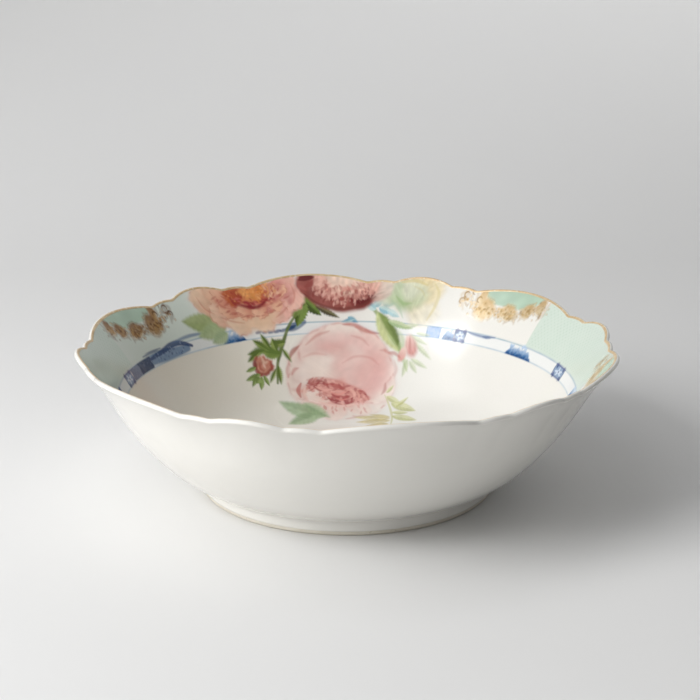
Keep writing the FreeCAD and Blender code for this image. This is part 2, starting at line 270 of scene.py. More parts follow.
def turned_solid(name, rows, hard_rows=()):
    """A closed solid from rows of points that run right round, from one pole to the other.

    rows is an array of row, column, xyz. The first and last rows lie close about the axis and
    are closed by a point there. hard_rows are rows of faces that are shaded flat.
    """
    count = rows.shape[1]
    points = np.vstack([rows.reshape(-1, 3), rows[0].mean(0), rows[-1].mean(0)])
    column = np.arange(count)
    after = (column + 1) % count
    base = (len(rows) - 1) * count
    first_fan = np.stack([after, column, np.full(count, len(points) - 2)], 1)
    last_fan = np.stack([base + column, base + after, np.full(count, len(points) - 1)], 1)
    flat = strips(hard_rows, count) if len(hard_rows) else None
    return mesh_object(name, points, grid_faces(len(rows), count, True),
                       np.vstack([first_fan, last_fan]), flat)


def sheet_solid(name, front, back):
    """A thin closed solid between two grids of points of the same shape."""
    rows, columns = front.shape[:2]
    points = np.vstack([front.reshape(-1, 3), back.reshape(-1, 3)])
    half = rows * columns
    face = grid_faces(rows, columns, False)
    under = face[:, ::-1] + half
    border = np.concatenate([
        np.arange(columns),
        np.arange(1, rows) * columns + columns - 1,
        (rows - 1) * columns + np.arange(columns - 2, -1, -1),
        np.arange(rows - 2, 0, -1) * columns])
    following = np.roll(border, -1)
    skirt = np.stack([following, border, border + half, following + half], 1)
    faces = np.vstack([face, under, skirt])
    return mesh_object(name, points, faces, flat=np.arange(len(faces) - len(skirt), len(faces)))


def ring_solid(name, rows, hard_rows=()):
    """A closed ring from rows of points that run right round, in a loop about its section."""
    count = rows.shape[1]
    looped = grid_faces(len(rows) + 1, count, True) % (len(rows) * count)
    flat = strips(hard_rows, count) if len(hard_rows) else None
    return mesh_object(name, rows.reshape(-1, 3), looped, flat=flat)


# ---------------------------------------------------------------- the painter

def linear(colour):
    """Linear light of a colour given as display values from 0 to 255."""
    share = np.asarray(colour, float) / 255
    return np.where(share <= 0.04045, share / 12.92, ((share + 0.055) / 1.055) ** 2.4)


GLAZE_WHITE = (231, 229, 223)


def noise(x, y, size, seed):
    """Smooth random values from 0 to 1, with features of about this size."""
    table = np.random.default_rng(SEED + seed).random((64, 64))
    x = np.asarray(x) / size
    y = np.asarray(y) / size
    left = np.floor(x).astype(int)
    low = np.floor(y).astype(int)
    across = smooth(0, 1, x - left)
    up = smooth(0, 1, y - low)
    corner = [[table[(low + j) % 64, (left + i) % 64] for i in (0, 1)] for j in (0, 1)]
    below = corner[0][0] * (1 - across) + corner[0][1] * across
    above = corner[1][0] * (1 - across) + corner[1][1] * across
    return below * (1 - up) + above * up


class Painting:
    """The colours of a set of places on the inside, laid down one stroke over another.

    u runs to the right and v to the back, in millimetres along the surface.
    """

    def __init__(self, azimuth, reach):
        self.azimuth = np.asarray(azimuth, float).ravel() % 360
        self.reach = np.asarray(reach, float).ravel()
        turn = np.radians(self.azimuth)
        self.u = self.reach * np.sin(turn)
        self.v = -self.reach * np.cos(turn)
        self.rim_gap = rim_reach(self.azimuth) - self.reach
        self.colour = np.tile(linear(GLAZE_WHITE), (len(self.u), 1))
        self.gilt = np.zeros(len(self.u))

    def near(self, centre_u, centre_v, size):
        return np.nonzero((np.abs(self.u - centre_u) < size) & (np.abs(self.v - centre_v) < size))[0]

    def lay(self, where, cover, colour, gilt=0.0):
        """Covers places with a colour, by shares from 0 to 1."""
        cover = np.clip(cover, 0, 1)[:, None]
        self.colour[where] += (colour - self.colour[where]) * cover
        self.gilt[where] += (gilt - self.gilt[where]) * cover[:, 0]


# How strongly the shadow round a petal darkens red, green and blue.
SHADOW_TINT = np.array([0.30, 0.62, 0.60])


def petal(painting, centre, size, turn, base, tip, egg=0.0, ripple=0.02, soft=0.14, strength=1.0,
          shadow=0.0, edge=None, gilt=0.0, grain=0.07, seed=0):
    """An oval petal: base colour at its root and tip colour at its end.

    size is half its length and half its width, and turn the direction of its end in degrees.
    shadow deepens what lies round the petal, edge is a fine broken outline, and grain is the
    strength of the brush marks. The seed changes the ripple of the outline and the marks.
    """
    length, width = size
    where = painting.near(*centre, 1.6 * max(size))
    if not len(where):
        return
    du = painting.u[where] - centre[0]
    dv = painting.v[where] - centre[1]
    c, s = math.cos(math.radians(turn)), math.sin(math.radians(turn))
    along = (du * c + dv * s) / length
    across = (-du * s + dv * c) / (width * (1 + egg * np.clip(along, -1, 1)))
    angle = np.arctan2(across, along)
    wave = ripple * (np.sin(3 * angle + seed) + 0.7 * np.sin(7 * angle + 2.3 * seed)
                     + 0.5 * np.sin(13 * angle + 1.7 * seed))
    distance = np.hypot(along, across) * (1 + wave)
    if shadow:
        depth = shadow * np.exp(-np.maximum(distance - 0.96, 0) / 0.13)[:, None]
        painting.colour[where] *= 1 - depth * SHADOW_TINT
    cover = strength * smooth(1 + soft / 2, 1 - soft / 2, distance)
    rise = smooth(-1, 1, along)[:, None]
    colour = linear(base) * (1 - rise) + linear(tip) * rise
    marks = noise(across * 7 + seed, along * 2.0, 1.0, seed) + noise(du, dv, 2.6, seed + 3) - 1
    colour = colour * (1 + grain * marks)[:, None]
    painting.lay(where, cover, np.clip(colour, 0, 1), gilt)
    if edge is not None:
        rim = np.exp(-((distance - 0.96) / 0.05) ** 2) * smooth(-0.6, 0.5, along)
        broken = smooth(0.35, 0.75, noise(angle * 3, along, 0.7, seed + 7))
        painting.lay(where, 0.5 * strength * rim * broken, linear(edge), gilt)


def brush(painting, points, width, colour, strength=1.0, taper=0.75, gilt=0.0, soft=0.45):
    """A brush line through points (u, v): widest in the middle, thin at its ends."""
    points = np.asarray(points, float)
    if len(points) > 2:
        t = np.linspace(0, len(points) - 1, 6 * len(points))
        k = np.minimum(t.astype(int), len(points) - 2)
        f = (t - k)[:, None]
        ahead = np.vstack([2 * points[0] - points[1], points, 2 * points[-1] - points[-2]])
        a, b, c, d = ahead[k], ahead[k + 1], ahead[k + 2], ahead[k + 3]
        points = 0.5 * (2 * b + (c - a) * f + (2 * a - 5 * b + 4 * c - d) * f ** 2
                        + (3 * b - a - 3 * c + d) * f ** 3)
    middle = (points.min(0) + points.max(0)) / 2
    where = painting.near(*middle, np.ptp(points, 0).max() / 2 + width + 1)
    if not len(where):
        return
    place = np.stack([painting.u[where], painting.v[where]], 1)
    nearest = np.full(len(where), 1e9)
    passed = np.zeros(len(where))
    for index, (start, end) in enumerate(zip(points, points[1:])):
        run = end - start
        share = np.clip(((place - start) @ run) / max(run @ run, 1e-9), 0, 1)
        gap = np.hypot(*(place - start - share[:, None] * run).T)
        closer = gap < nearest
        nearest = np.where(closer, gap, nearest)
        passed = np.where(closer, (index + share) / (len(points) - 1), passed)
    half = width / 2 * (1 - taper * (2 * passed - 1) ** 2)
    painting.lay(where, strength * smooth(half + soft / 2, half - soft / 2, nearest),
                 linear(colour), gilt)


def leaf(painting, root, end, width, light, dark, rib=None, bend=0.0, teeth=0.0, strength=1.0,
         seed=0, soft=0.6):
    """A pointed leaf from its root to its end, light on one side of the rib and dark on the other."""
    root, end = np.asarray(root, float), np.asarray(end, float)
    run = end - root
    length = np.hypot(*run)
    where = painting.near(*((root + end) / 2), 0.75 * length + width)
    if not len(where):
        return
    du = painting.u[where] - root[0]
    dv = painting.v[where] - root[1]
    along = (du * run[0] + dv * run[1]) / length ** 2
    across = (-du * run[1] + dv * run[0]) / length
    inside = np.clip(along, 0, 1)
    across = across - bend * length * inside * (1 - inside)
    half = width * np.sin(np.pi * inside ** 0.8) ** 0.85 + 1e-6
    half = half * (1 + teeth * (((inside * 9 + seed) % 1) - 0.5))
    beyond = np.maximum(np.maximum(-along, along - 1), 0) * length
    cover = smooth(soft / 2, -soft / 2, np.abs(across) - half + beyond)
    side = smooth(-0.25 * width, 0.25 * width, across)[:, None]
    colour = linear(dark) * (1 - side) + linear(light) * side
    veins = np.abs((inside * 7 - np.abs(across) / width * 1.4) % 1 - 0.5)
    depth = 0.28 * min(1, 2.4 / width)
    colour = colour * (1 - depth / 2 + depth * veins)[:, None]
    colour = colour * (0.9 + 0.2 * noise(du, dv, 2.2, seed))[:, None]
    painting.lay(where, strength * cover, colour)
    if rib is not None:
        line = smooth(0.5, 0.1, np.abs(across)) * cover * smooth(1, 0.8, inside)
        painting.lay(where, 0.75 * strength * line, linear(rib))


def petals(painting, rows, seed, **style):
    """Petals laid one over another, each of centre, size, turn, base and tip."""
    for number, (centre, size, turn, base, tip) in enumerate(rows, start=seed):
        petal(painting, centre, size, turn, base, tip, seed=number, **style)


def brushes(painting, strokes, **style):
    """Brush lines, each of points, width, colour and strength."""
    for points, width, colour, strength in strokes:
        brush(painting, points, width, colour, strength, **style)


def leaves(painting, places, light, dark, **style):
    """Leaves of the same colours, each of root, end and width."""
    for root, end, width in places:
        leaf(painting, root, end, width, light, dark, seed=int(abs(end[0])), **style)


def spot(azimuth, reach):
    """A place on the inside as (u, v)."""
    turn = math.radians(azimuth)
    return reach * math.sin(turn), -reach * math.cos(turn)


def from_middle(centre, turn, distance):
    """The place (u, v) at a distance from a centre, in a direction given in degrees."""
    return (centre[0] + distance * math.cos(math.radians(turn)),
            centre[1] + distance * math.sin(math.radians(turn)))


# ---------------------------------------------------------------- the bouquet

ROSE_CENTRE = (-3, 89)
# Each petal: turn about the rose's centre, distance from it, half length, half width, base, tip.
ROSE_OUTER = [
    (262, 18, 12, 15, (228, 208, 198), (234, 227, 218)),
    (226, 17.5, 12, 11, (224, 200, 189), (233, 221, 211)),
    (305, 18, 12, 12, (226, 203, 193), (234, 224, 215)),
    (196, 19, 11, 11, (221, 193, 182), (231, 214, 203)),
    (162, 19, 11, 12, (219, 186, 176), (231, 213, 203)),
    (-18, 18, 10.5, 12, (226, 198, 188), (234, 219, 210)),
    (16, 17.6, 10.5, 12, (223, 187, 179), (233, 213, 205)),
    (128, 17.5, 12.5, 14, (219, 179, 170), (231, 208, 199)),
    (54, 17.5, 12.5, 14, (216, 172, 164), (229, 203, 194)),
    (90, 19, 11, 13, (222, 187, 178), (233, 217, 208)),
]
ROSE_MIDDLE = [
    (140, 11, 13, 14, (215, 172, 163), (228, 201, 192)),
    (90, 12, 12, 15, (214, 168, 161), (227, 196, 189)),
    (46, 11, 14, 14, (212, 162, 156), (226, 192, 185)),
    (4, 11, 14, 13, (212, 160, 155), (225, 189, 182)),
    (180, 12, 12, 12, (224, 198, 187), (232, 215, 206)),
    (100, 4, 12, 15, (227, 200, 190), (233, 217, 208)),
    (24, 4.5, 13, 11, (219, 178, 171), (229, 202, 194)),
]


def paint_main_rose(painting):
    """The large pink cabbage rose: pale outer petals round a deep, folded heart."""
    petal(painting, (-3.6, 89.2), (28.8, 28.6), 90, (230, 213, 203), (224, 190, 181), ripple=0.012)
    for seed, (turn, distance, length, width, base, tip) in enumerate(ROSE_OUTER):
        in_front = 190 < turn < 310
        petal(painting, from_middle(ROSE_CENTRE, turn, distance), (length, width), turn, base, tip,
              egg=0.1, ripple=0.025, shadow=0.18 if in_front else 0.34, seed=seed,
              strength=0.9 if in_front else 1.0, soft=0.3 if in_front else 0.14,
              edge=(198, 134, 126))
    for seed, (turn, distance, length, width, base, tip) in enumerate(ROSE_MIDDLE, start=20):
        petal(painting, from_middle(ROSE_CENTRE, turn, distance), (length, width), turn, base, tip,
              egg=0.12, ripple=0.03, shadow=0.14, seed=seed, soft=0.6)
    petal(painting, (12, 92), (10, 8), 60, (206, 140, 136), (214, 160, 154), strength=0.5, soft=1.2)
    petal(painting, (-7, 104), (9, 4), 170, (206, 146, 140), (210, 154, 147), strength=0.5, soft=1.2)
    petal(painting, (-15, 92), (9, 6), 150, (234, 218, 207), (234, 218, 207), strength=0.6, soft=1.2)
    strokes = [
        ([(-32.5, 96), (-31, 100), (-28, 103.6)], 2.5, (160, 92, 80), 0.675),
        ([(-30, 87), (-29, 90), (-27, 91.5)], 1.9, (190, 116, 108), 0.54),
        ([(-32, 85), (-33, 89), (-32.5, 93)], 1.5, (192, 122, 114), 0.45),
        ([(-24, 105), (-18, 111), (-11, 114)], 1.7, (196, 130, 121), 0.54),
        ([(-3, 118), (4, 117.5), (11, 114), (18, 112)], 2.3, (180, 104, 96), 0.63),
        ([(2, 112), (8, 110), (12, 106)], 1.4, (200, 138, 130), 0.45),
        ([(18, 103), (21.6, 102), (25, 98.6)], 1.6, (196, 132, 124), 0.45),
        ([(25.6, 96), (26.4, 91), (25, 87)], 1.4, (204, 146, 138), 0.36),
        ([(17.5, 77.6), (19.2, 80), (19.8, 84)], 1.8, (176, 112, 104), 0.585),
        ([(-3, 97), (4, 100.5), (12, 99.5), (17, 95)], 1.5, (203, 142, 135), 0.45),
        ([(-25, 98), (-19, 101), (-12, 101)], 1.4, (208, 152, 143), 0.45)]
    brushes(painting, strokes, soft=1.5)
    paint_rose_heart(painting)


def paint_rose_heart(painting):
    """The folds at the middle of the large rose: deep pockets in a scramble of small petals."""
    base, tip = (216, 172, 161), (232, 213, 203)
    petals(painting, [((-18, 71), (8, 5), 230, base, tip), ((5, 71.5), (9, 5.5), 300, base, tip),
                      ((-7, 68.5), (10, 7), 268, base, tip)], 40, ripple=0.03, shadow=0.16, soft=0.3)
    petal(painting, (-7.5, 78.6), (16.4, 7.6), 356, (216, 158, 146), (219, 158, 149), ripple=0.09,
          shadow=0.08, soft=0.6, seed=44)
    petal(painting, (-16, 76), (6.4, 4.2), 160, (228, 197, 185), (233, 213, 203), ripple=0.06, seed=45,
          soft=0.4)
    pockets = [
        ([(-24.8, 83), (-25.8, 78.5), (-24.2, 74.5)], 2.2, (184, 106, 98), 0.75, 0.9),
        ([(-21.5, 85.4), (-15, 87.6), (-7, 86.8), (0, 84.4), (6.5, 81.6)], 1.5,
         (188, 112, 104), 0.5, 2.0),
        ([(-21, 83.6), (-16, 85.4), (-11, 84.4)], 3.0, (150, 66, 64), 0.85, 1.2),
        ([(-12, 84), (-6, 83.8), (-1, 81)], 2.4, (176, 86, 82), 0.75, 1.2),
        ([(-10, 76.6), (-6, 73.8), (0, 73.6), (3.4, 76.6)], 3.4, (146, 48, 52), 0.85, 1.0),
        ([(-8, 78.6), (-3.4, 76.4), (1, 77.4)], 2.8, (156, 58, 60), 0.8, 1.0),
        ([(5.8, 81), (8.2, 78.6), (8.8, 75.2)], 2.6, (172, 84, 80), 0.8, 0.9),
        ([(-12, 70.4), (-11, 67.6)], 1.8, (186, 104, 96), 0.6, 0.9)]
    for points, width, colour, strength, soft in pockets:
        brush(painting, points, width, colour, strength, taper=0.6, soft=soft)
    random = np.random.default_rng(SEED + 3)
    for _ in range(130):
        share = random.uniform(-1, 1)
        rise = random.uniform(-1, 1)
        start = (-6.5 + 16 * share, 79.8 - 2.6 * share + 7.0 * rise * math.sqrt(1 - share ** 2))
        turn = random.normal(-20 - 50 * share, 38)
        end = from_middle(start, turn, random.uniform(1.6, 4.2))
        middle = ((start[0] + end[0]) / 2, (start[1] + end[1]) / 2 + random.uniform(-0.7, 0.9))
        tone = random.random()
        if rise < -0.2:
            tone = tone ** 2
        colour = (228 - 74 * tone, 176 - 112 * tone, 164 - 100 * tone)
        brush(painting, [start, middle, end], random.uniform(0.9, 1.9), colour, 0.62, soft=0.9)
    folds = [
        ([(-17, 82.4), (-12.4, 80.8), (-8, 81.6)], 1.3, (226, 170, 158), 0.8),
        ([(-9, 79.8), (-5, 78.4), (-1.6, 80)], 1.4, (222, 150, 140), 0.8),
        ([(-6, 76), (-3, 75), (-0.6, 76)], 1.0, (208, 122, 114), 0.8),
        ([(1.6, 82), (3.4, 79), (3, 75.6)], 1.5, (230, 178, 164), 0.75),
        ([(4.6, 80.6), (5.8, 77.6), (5.4, 74.6)], 1.3, (226, 168, 154), 0.75),
        ([(-22.6, 81), (-22.4, 77), (-20.6, 74)], 1.4, (231, 196, 184), 0.75),
        ([(-14.6, 73), (-9, 70.8), (-3, 70.4), (4, 72)], 1.6, (228, 188, 176), 0.8)]
    brushes(painting, folds, taper=0.6, soft=0.8)
    for _ in range(16):
        start = (random.uniform(-13, 10), random.uniform(66, 72))
        end = (start[0] + random.uniform(-1, 1.6), start[1] - random.uniform(1, 3))
        brush(painting, [start, end], random.uniform(0.7, 1.2), (202, 132, 122), 0.5, soft=0.8)


def paint_peach_rose(painting):
    """The peach rose left of the axis, with an orange heart; it is cut off by the rim."""
    petal(painting, spot(207, 136), (20, 15), 207, (224, 180, 154), (226, 184, 158), seed=59, soft=0.2)
    outer = [
        (spot(219.2, 138.6), (9, 9), 166, (219, 174, 146), (231, 198, 170)),
        (spot(215.8, 129.6), (8, 8), 205, (214, 160, 138), (230, 194, 168)),
        (spot(211.5, 126), (8, 10), 228, (222, 180, 154), (233, 205, 180)),
        (spot(205, 125.6), (8, 10), 250, (224, 184, 158), (234, 208, 184)),
        (spot(199.2, 129), (9, 8.6), 300, (214, 150, 138), (226, 178, 164)),
        (spot(195.4, 134.6), (9, 7), 320, (210, 146, 136), (228, 184, 168)),
        (spot(196.8, 142), (9, 7.6), 55, (206, 134, 128), (226, 178, 162)),
        (spot(215, 144), (9, 9), 120, (222, 174, 146), (233, 202, 174)),
        (spot(206, 146), (9, 10), 90, (222, 172, 138), (233, 200, 168))]
    petals(painting, outer, 60, egg=0.1, ripple=0.05, shadow=0.3, edge=(196, 118, 98), grain=0.14,
           soft=0.3)
    petal(painting, spot(207, 125.6), (15.5, 7.6), 205, (226, 190, 160), (230, 196, 168), seed=58,
          soft=0.8)
    base, tip = (206, 136, 112), (228, 180, 152)
    inner = [
        (spot(213.4, 131.5), (6.5, 5.4), 212, base, tip), (spot(209, 129.6), (6, 5.4), 238, base, tip),
        (spot(204.4, 129.6), (6, 5.4), 258, base, tip), (spot(200.2, 132.5), (6, 5), 300, base, tip),
        (spot(199.0, 138.6), (7, 4.6), 15, base, tip), (spot(214.4, 138.6), (6.6, 5), 160, base, tip)]
    petals(painting, inner, 75, ripple=0.08, shadow=0.3, edge=(172, 88, 76), soft=0.3)
    petal(painting, spot(206.6, 138.6), (13.2, 6.6), 206, (188, 96, 74), (206, 130, 88), seed=80,
          ripple=0.12, shadow=0.18, soft=0.3)
    petal(painting, spot(211, 137.6), (6.4, 5.4), 200, (164, 72, 54), (188, 98, 62), seed=82,
          ripple=0.1, soft=0.5)
    petal(painting, spot(205.4, 139.6), (7.6, 5.2), 206, (210, 128, 68), (224, 156, 92), seed=81,
          soft=0.6, ripple=0.1, grain=0.25)
    random = np.random.default_rng(SEED + 9)
    for _ in range(90):
        side = random.uniform(-1, 1)
        azimuth = 206.4 + 7.2 * side
        reach = 138 + random.uniform(-7, 6.5) * math.sqrt(1 - side ** 2)
        tone = np.clip(random.uniform(-0.3, 0.7) + 0.4 * (azimuth > 209) + 0.3 * (reach < 134), 0, 1)
        colour = (232 - 74 * tone, 172 - 112 * tone, 108 - 58 * tone)
        brush(painting, [spot(azimuth, reach), spot(azimuth + random.uniform(-1, 1), reach + 1.9)],
              random.uniform(0.8, 1.3), colour, 0.55, soft=0.6)
    for _ in range(34):
        azimuth = random.uniform(199.4, 210)
        reach = 131.4 + 0.14 * (azimuth - 204) ** 2 + random.uniform(-1.5, 1.5)
        colour = (150, 52, 58) if random.random() < 0.6 else (196, 104, 92)
        brush(painting, [spot(azimuth, reach), spot(azimuth + random.uniform(0.6, 1.8), reach + 0.6)],
              random.uniform(0.9, 1.5), colour, 0.65, soft=0.6)
    for _ in range(20):
        azimuth = random.uniform(198.4, 201.6)
        reach = random.uniform(132, 142)
        colour = (168, 76, 74) if random.random() < 0.5 else (232, 188, 160)
        brush(painting, [spot(azimuth, reach), spot(azimuth + random.uniform(-0.8, 0.8), reach + 2)],
              1.1, colour, 0.55, soft=0.6)
    for _ in range(70):
        side = random.uniform(-1, 1)
        azimuth = 206.2 + 10.4 * side
        reach = 125.2 + 9.5 * side ** 2 + random.choice((0, 4.2)) + random.uniform(-0.9, 0.9)
        colour = (176, 92, 80) if random.random() < 0.6 else (206, 136, 116)
        step = random.uniform(0.8, 1.8)
        brush(painting, [spot(azimuth - step / 2, reach + 0.9 * step * abs(side)),
                         spot(azimuth + step / 2, reach)],
              random.uniform(0.8, 1.5), colour, 0.5, soft=0.8)
    ring = [spot(211.8, 137.4), spot(211.2, 134), spot(209.4, 132.4), spot(207.2, 130.8),
            spot(204.8, 130.4), spot(202.6, 132.6), spot(201.6, 136)]
    brush(painting, ring, 2.4, (140, 40, 48), 0.6, taper=0.6, soft=1.2)
    brush(painting, ring[2:6], 1.6, (116, 24, 40), 0.6, taper=0.6, soft=0.9)
    for azimuth, reach, size in ((198, 141, 3.2), (199.4, 134, 2.6), (195.4, 132, 2.4),
                                 (201.8, 128.4, 2.2)):
        petal(painting, spot(azimuth, reach), (size, 0.7 * size), 60, (176, 84, 90), (206, 132, 126),
              strength=0.55, soft=1.2, seed=int(reach))
    brown = (190, 108, 94)
    brushes(painting, [
        ([spot(215.6, 139), spot(215.2, 134), spot(212, 130.5)], 1.2, brown, 0.5),
        ([spot(221, 141), spot(220.2, 134), spot(218, 130)], 1.1, brown, 0.4),
        ([spot(216.4, 127.6), spot(213.6, 124.6), spot(210, 122.6)], 1.1, brown, 0.4),
        ([spot(200.4, 123.6), spot(198.4, 126), spot(196.6, 129)], 1.2, brown, 0.45),
        ([spot(194.8, 131), spot(194.2, 136), spot(194.8, 142)], 1.1, brown, 0.4)], soft=1.0)


def paint_ruffled_rose(painting):
    """The deep red ruffled rose at the rim, half cut off by it."""
    petal(painting, (-3, 141.6), (16.6, 29), 90, (150, 84, 78), (216, 168, 154), seed=90, ripple=0.01,
          shadow=0.16, soft=0.2)
    petals(painting, [
        ((-25, 138.5), (8, 8), 165, (126, 56, 52), (164, 96, 88)),
        ((-17, 136.2), (8.6, 8), 230, (176, 112, 104), (140, 78, 72)),
        ((-4, 134.6), (9.4, 9.6), 262, (190, 116, 106), (138, 74, 68)),
        ((8, 135), (8.6, 8.4), 300, (132, 54, 52), (118, 50, 48)),
        ((20, 137), (8.6, 7), 10, (196, 158, 146), (212, 196, 182)),
        ((-13, 141), (10, 8), 120, (206, 142, 130), (226, 180, 164)),
        ((12, 142), (10, 9), 60, (214, 156, 142), (229, 192, 174)),
        ((-1, 144), (10, 13), 90, (228, 192, 174), (233, 212, 196))], 91, shadow=0.1, grain=0.24,
        soft=0.4)
    brush(painting, [(4, 130.4), (10, 131), (16.4, 134.8)], 4.6, (96, 34, 36), 0.85, soft=1.8)
    brushes(painting, [([(-31, 140.5), (-27.6, 142.6), (-22, 143.4)], 4.4, (98, 38, 40), 0.85),
                       ([(-27, 137), (-23.6, 139), (-21, 142)], 2.6, (142, 70, 66), 0.7)], soft=1.2)
    random = np.random.default_rng(SEED + 13)
    for _ in range(150):
        side = random.uniform(-1, 1)
        start = (-3 + 19 * side, 127.2 + 6.6 * abs(side) ** 1.5 + random.uniform(0, 10))
        end = (start[0] * 0.92 + random.uniform(-1.8, 1.8), start[1] + random.uniform(1.2, 4))
        tone = random.random()
        if start[1] > 137:
            tone *= 0.6
        colour = (232 - 92 * tone, 190 - 128 * tone, 174 - 118 * tone)
        middle = ((start[0] + end[0]) / 2 + random.uniform(-1, 1), (start[1] + end[1]) / 2)
        brush(painting, [start, middle, end], random.uniform(1.2, 2.6), colour, 0.6, soft=1.0)
    hem = [(-27, 132.6), (-19, 128.4), (-9, 126.4), (1, 126.8), (9, 128.4), (17, 132.4)]
    brush(painting, hem, 1.8, (104, 52, 46), 0.6, taper=0.5, soft=1.4)
    for _ in range(60):
        side = random.uniform(-1, 1)
        start = (-4 + 19 * side, 126.6 + 5.6 * abs(side) ** 1.6 + random.uniform(0, 5))
        end = (start[0] * 0.97 + random.uniform(-1, 1), start[1] + random.uniform(1, 2.6))
        colour = (216, 164, 152) if random.random() < 0.5 else (128, 60, 56)
        brush(painting, [start, end], random.uniform(0.8, 1.5), colour, 0.55, soft=0.7)
    brush(painting, [(-4, 136), (-1, 138), (3, 137.5)], 2.6, (204, 126, 114), 0.45, soft=1.4)


def paint_pale_rose(painting):
    """The pale yellow and green rose right of the axis."""
    petals(painting, [
        ((45, 120), (10, 9), -60, (220, 211, 184), (229, 223, 205)),
        ((52, 130), (9, 8), 10, (212, 200, 158), (226, 213, 180)),
        ((46, 137), (9, 8), 60, (212, 194, 142), (225, 208, 166)),
        ((34, 140), (9, 8), 100, (206, 196, 156), (222, 212, 182)),
        ((26, 134), (8, 8), 160, (184, 194, 170), (210, 211, 192)),
        ((34, 131), (9, 8), 110, (166, 184, 142), (190, 201, 168)),
        ((43, 129), (8, 7), 60, (184, 192, 156), (208, 208, 180)),
        ((39, 133), (6, 5), 80, (198, 203, 178), (212, 212, 188))], 110, egg=0.1, ripple=0.05,
        soft=0.8, shadow=0.08, grain=0.16)
    brushes(painting, [
        ([(34, 138.5), (43, 137.5), (50, 133)], 2.2, (207, 190, 128), 0.6),
        ([(54.5, 133), (56.5, 126), (53, 119), (47, 113)], 2.2, (212, 198, 146), 0.6),
        ([(30, 131), (34, 126), (39, 125)], 1.8, (150, 178, 122), 0.6),
        ([(27, 129), (31, 124), (33, 118)], 1.6, (166, 190, 160), 0.5),
        ([(26, 137), (22, 137), (18, 136)], 3.5, (204, 176, 164), 0.5),
        ([(41, 135), (46, 131), (48, 126)], 1.3, (196, 188, 140), 0.5)], soft=1.2)


def paint_foliage(painting):
    """Leaves and sprays that lie under the flowers."""
    brush(painting, [(13.6, 128.4), (17, 124), (21, 118)], 2.2, (132, 152, 88), 0.8, soft=1.6)
    leaf(painting, (18, 123.6), (30.4, 99), 4.8, (130, 148, 86), (202, 208, 154), bend=-0.06, teeth=0.08,
         seed=1, soft=2.4)
    brush(painting, [(24, 117.4), (27.6, 111), (28.6, 105)], 3.4, (92, 110, 52), 0.6, soft=2.2)
    brush(painting, [(29.6, 112), (31.6, 106), (31, 100)], 2.6, (168, 188, 134), 0.5, soft=2.2)
    for start, end, width, light, dark in (
            ((24, 118), (38, 111), 1.8, (196, 208, 168), (166, 188, 142)),
            ((-30, 131), (-16, 122), 3.6, (112, 136, 66), (72, 86, 42)),
            ((-28, 130), (-30, 114), 4.6, (120, 142, 72), (74, 92, 38)),
            ((-26, 127), (-37, 118), 3.0, (122, 144, 76), (74, 92, 38)),
            ((-20, 127), (-5, 121.5), 1.8, (122, 118, 84), (84, 78, 58)),
            ((-74, 100), (-98, 85.6), 5.8, (158, 172, 116), (166, 178, 126)),
            ((-72, 100), (-86, 84), 4.6, (176, 190, 146), (168, 184, 138)),
            ((-70, 96), (-77, 86), 3.4, (180, 194, 156), (166, 184, 144)),
            ((0, 122), (6, 119), 1.4, (150, 190, 202), (112, 160, 184)),
            ((4, 121), (-4, 119), 1.2, (170, 200, 204), (130, 172, 190)),
            ((16, 127), (22, 131), 2.2, (184, 214, 216), (150, 190, 202)),
            ((19, 126), (27, 122), 2.2, (184, 214, 216), (150, 190, 202)),
            ((17, 125), (11, 130), 2.0, (200, 222, 220), (168, 204, 210)),
            ((21, 129), (29, 127), 2.4, (200, 222, 220), (168, 204, 210)),
            ((24, 124), (31, 119), 1.8, (206, 224, 222), (182, 212, 216))):
        fallen = start[0] < -60
        leaf(painting, start, end, width, light, dark, teeth=0.12 if fallen else 0.25,
             seed=int(abs(end[0])), soft=3.0 if fallen else 1.3)


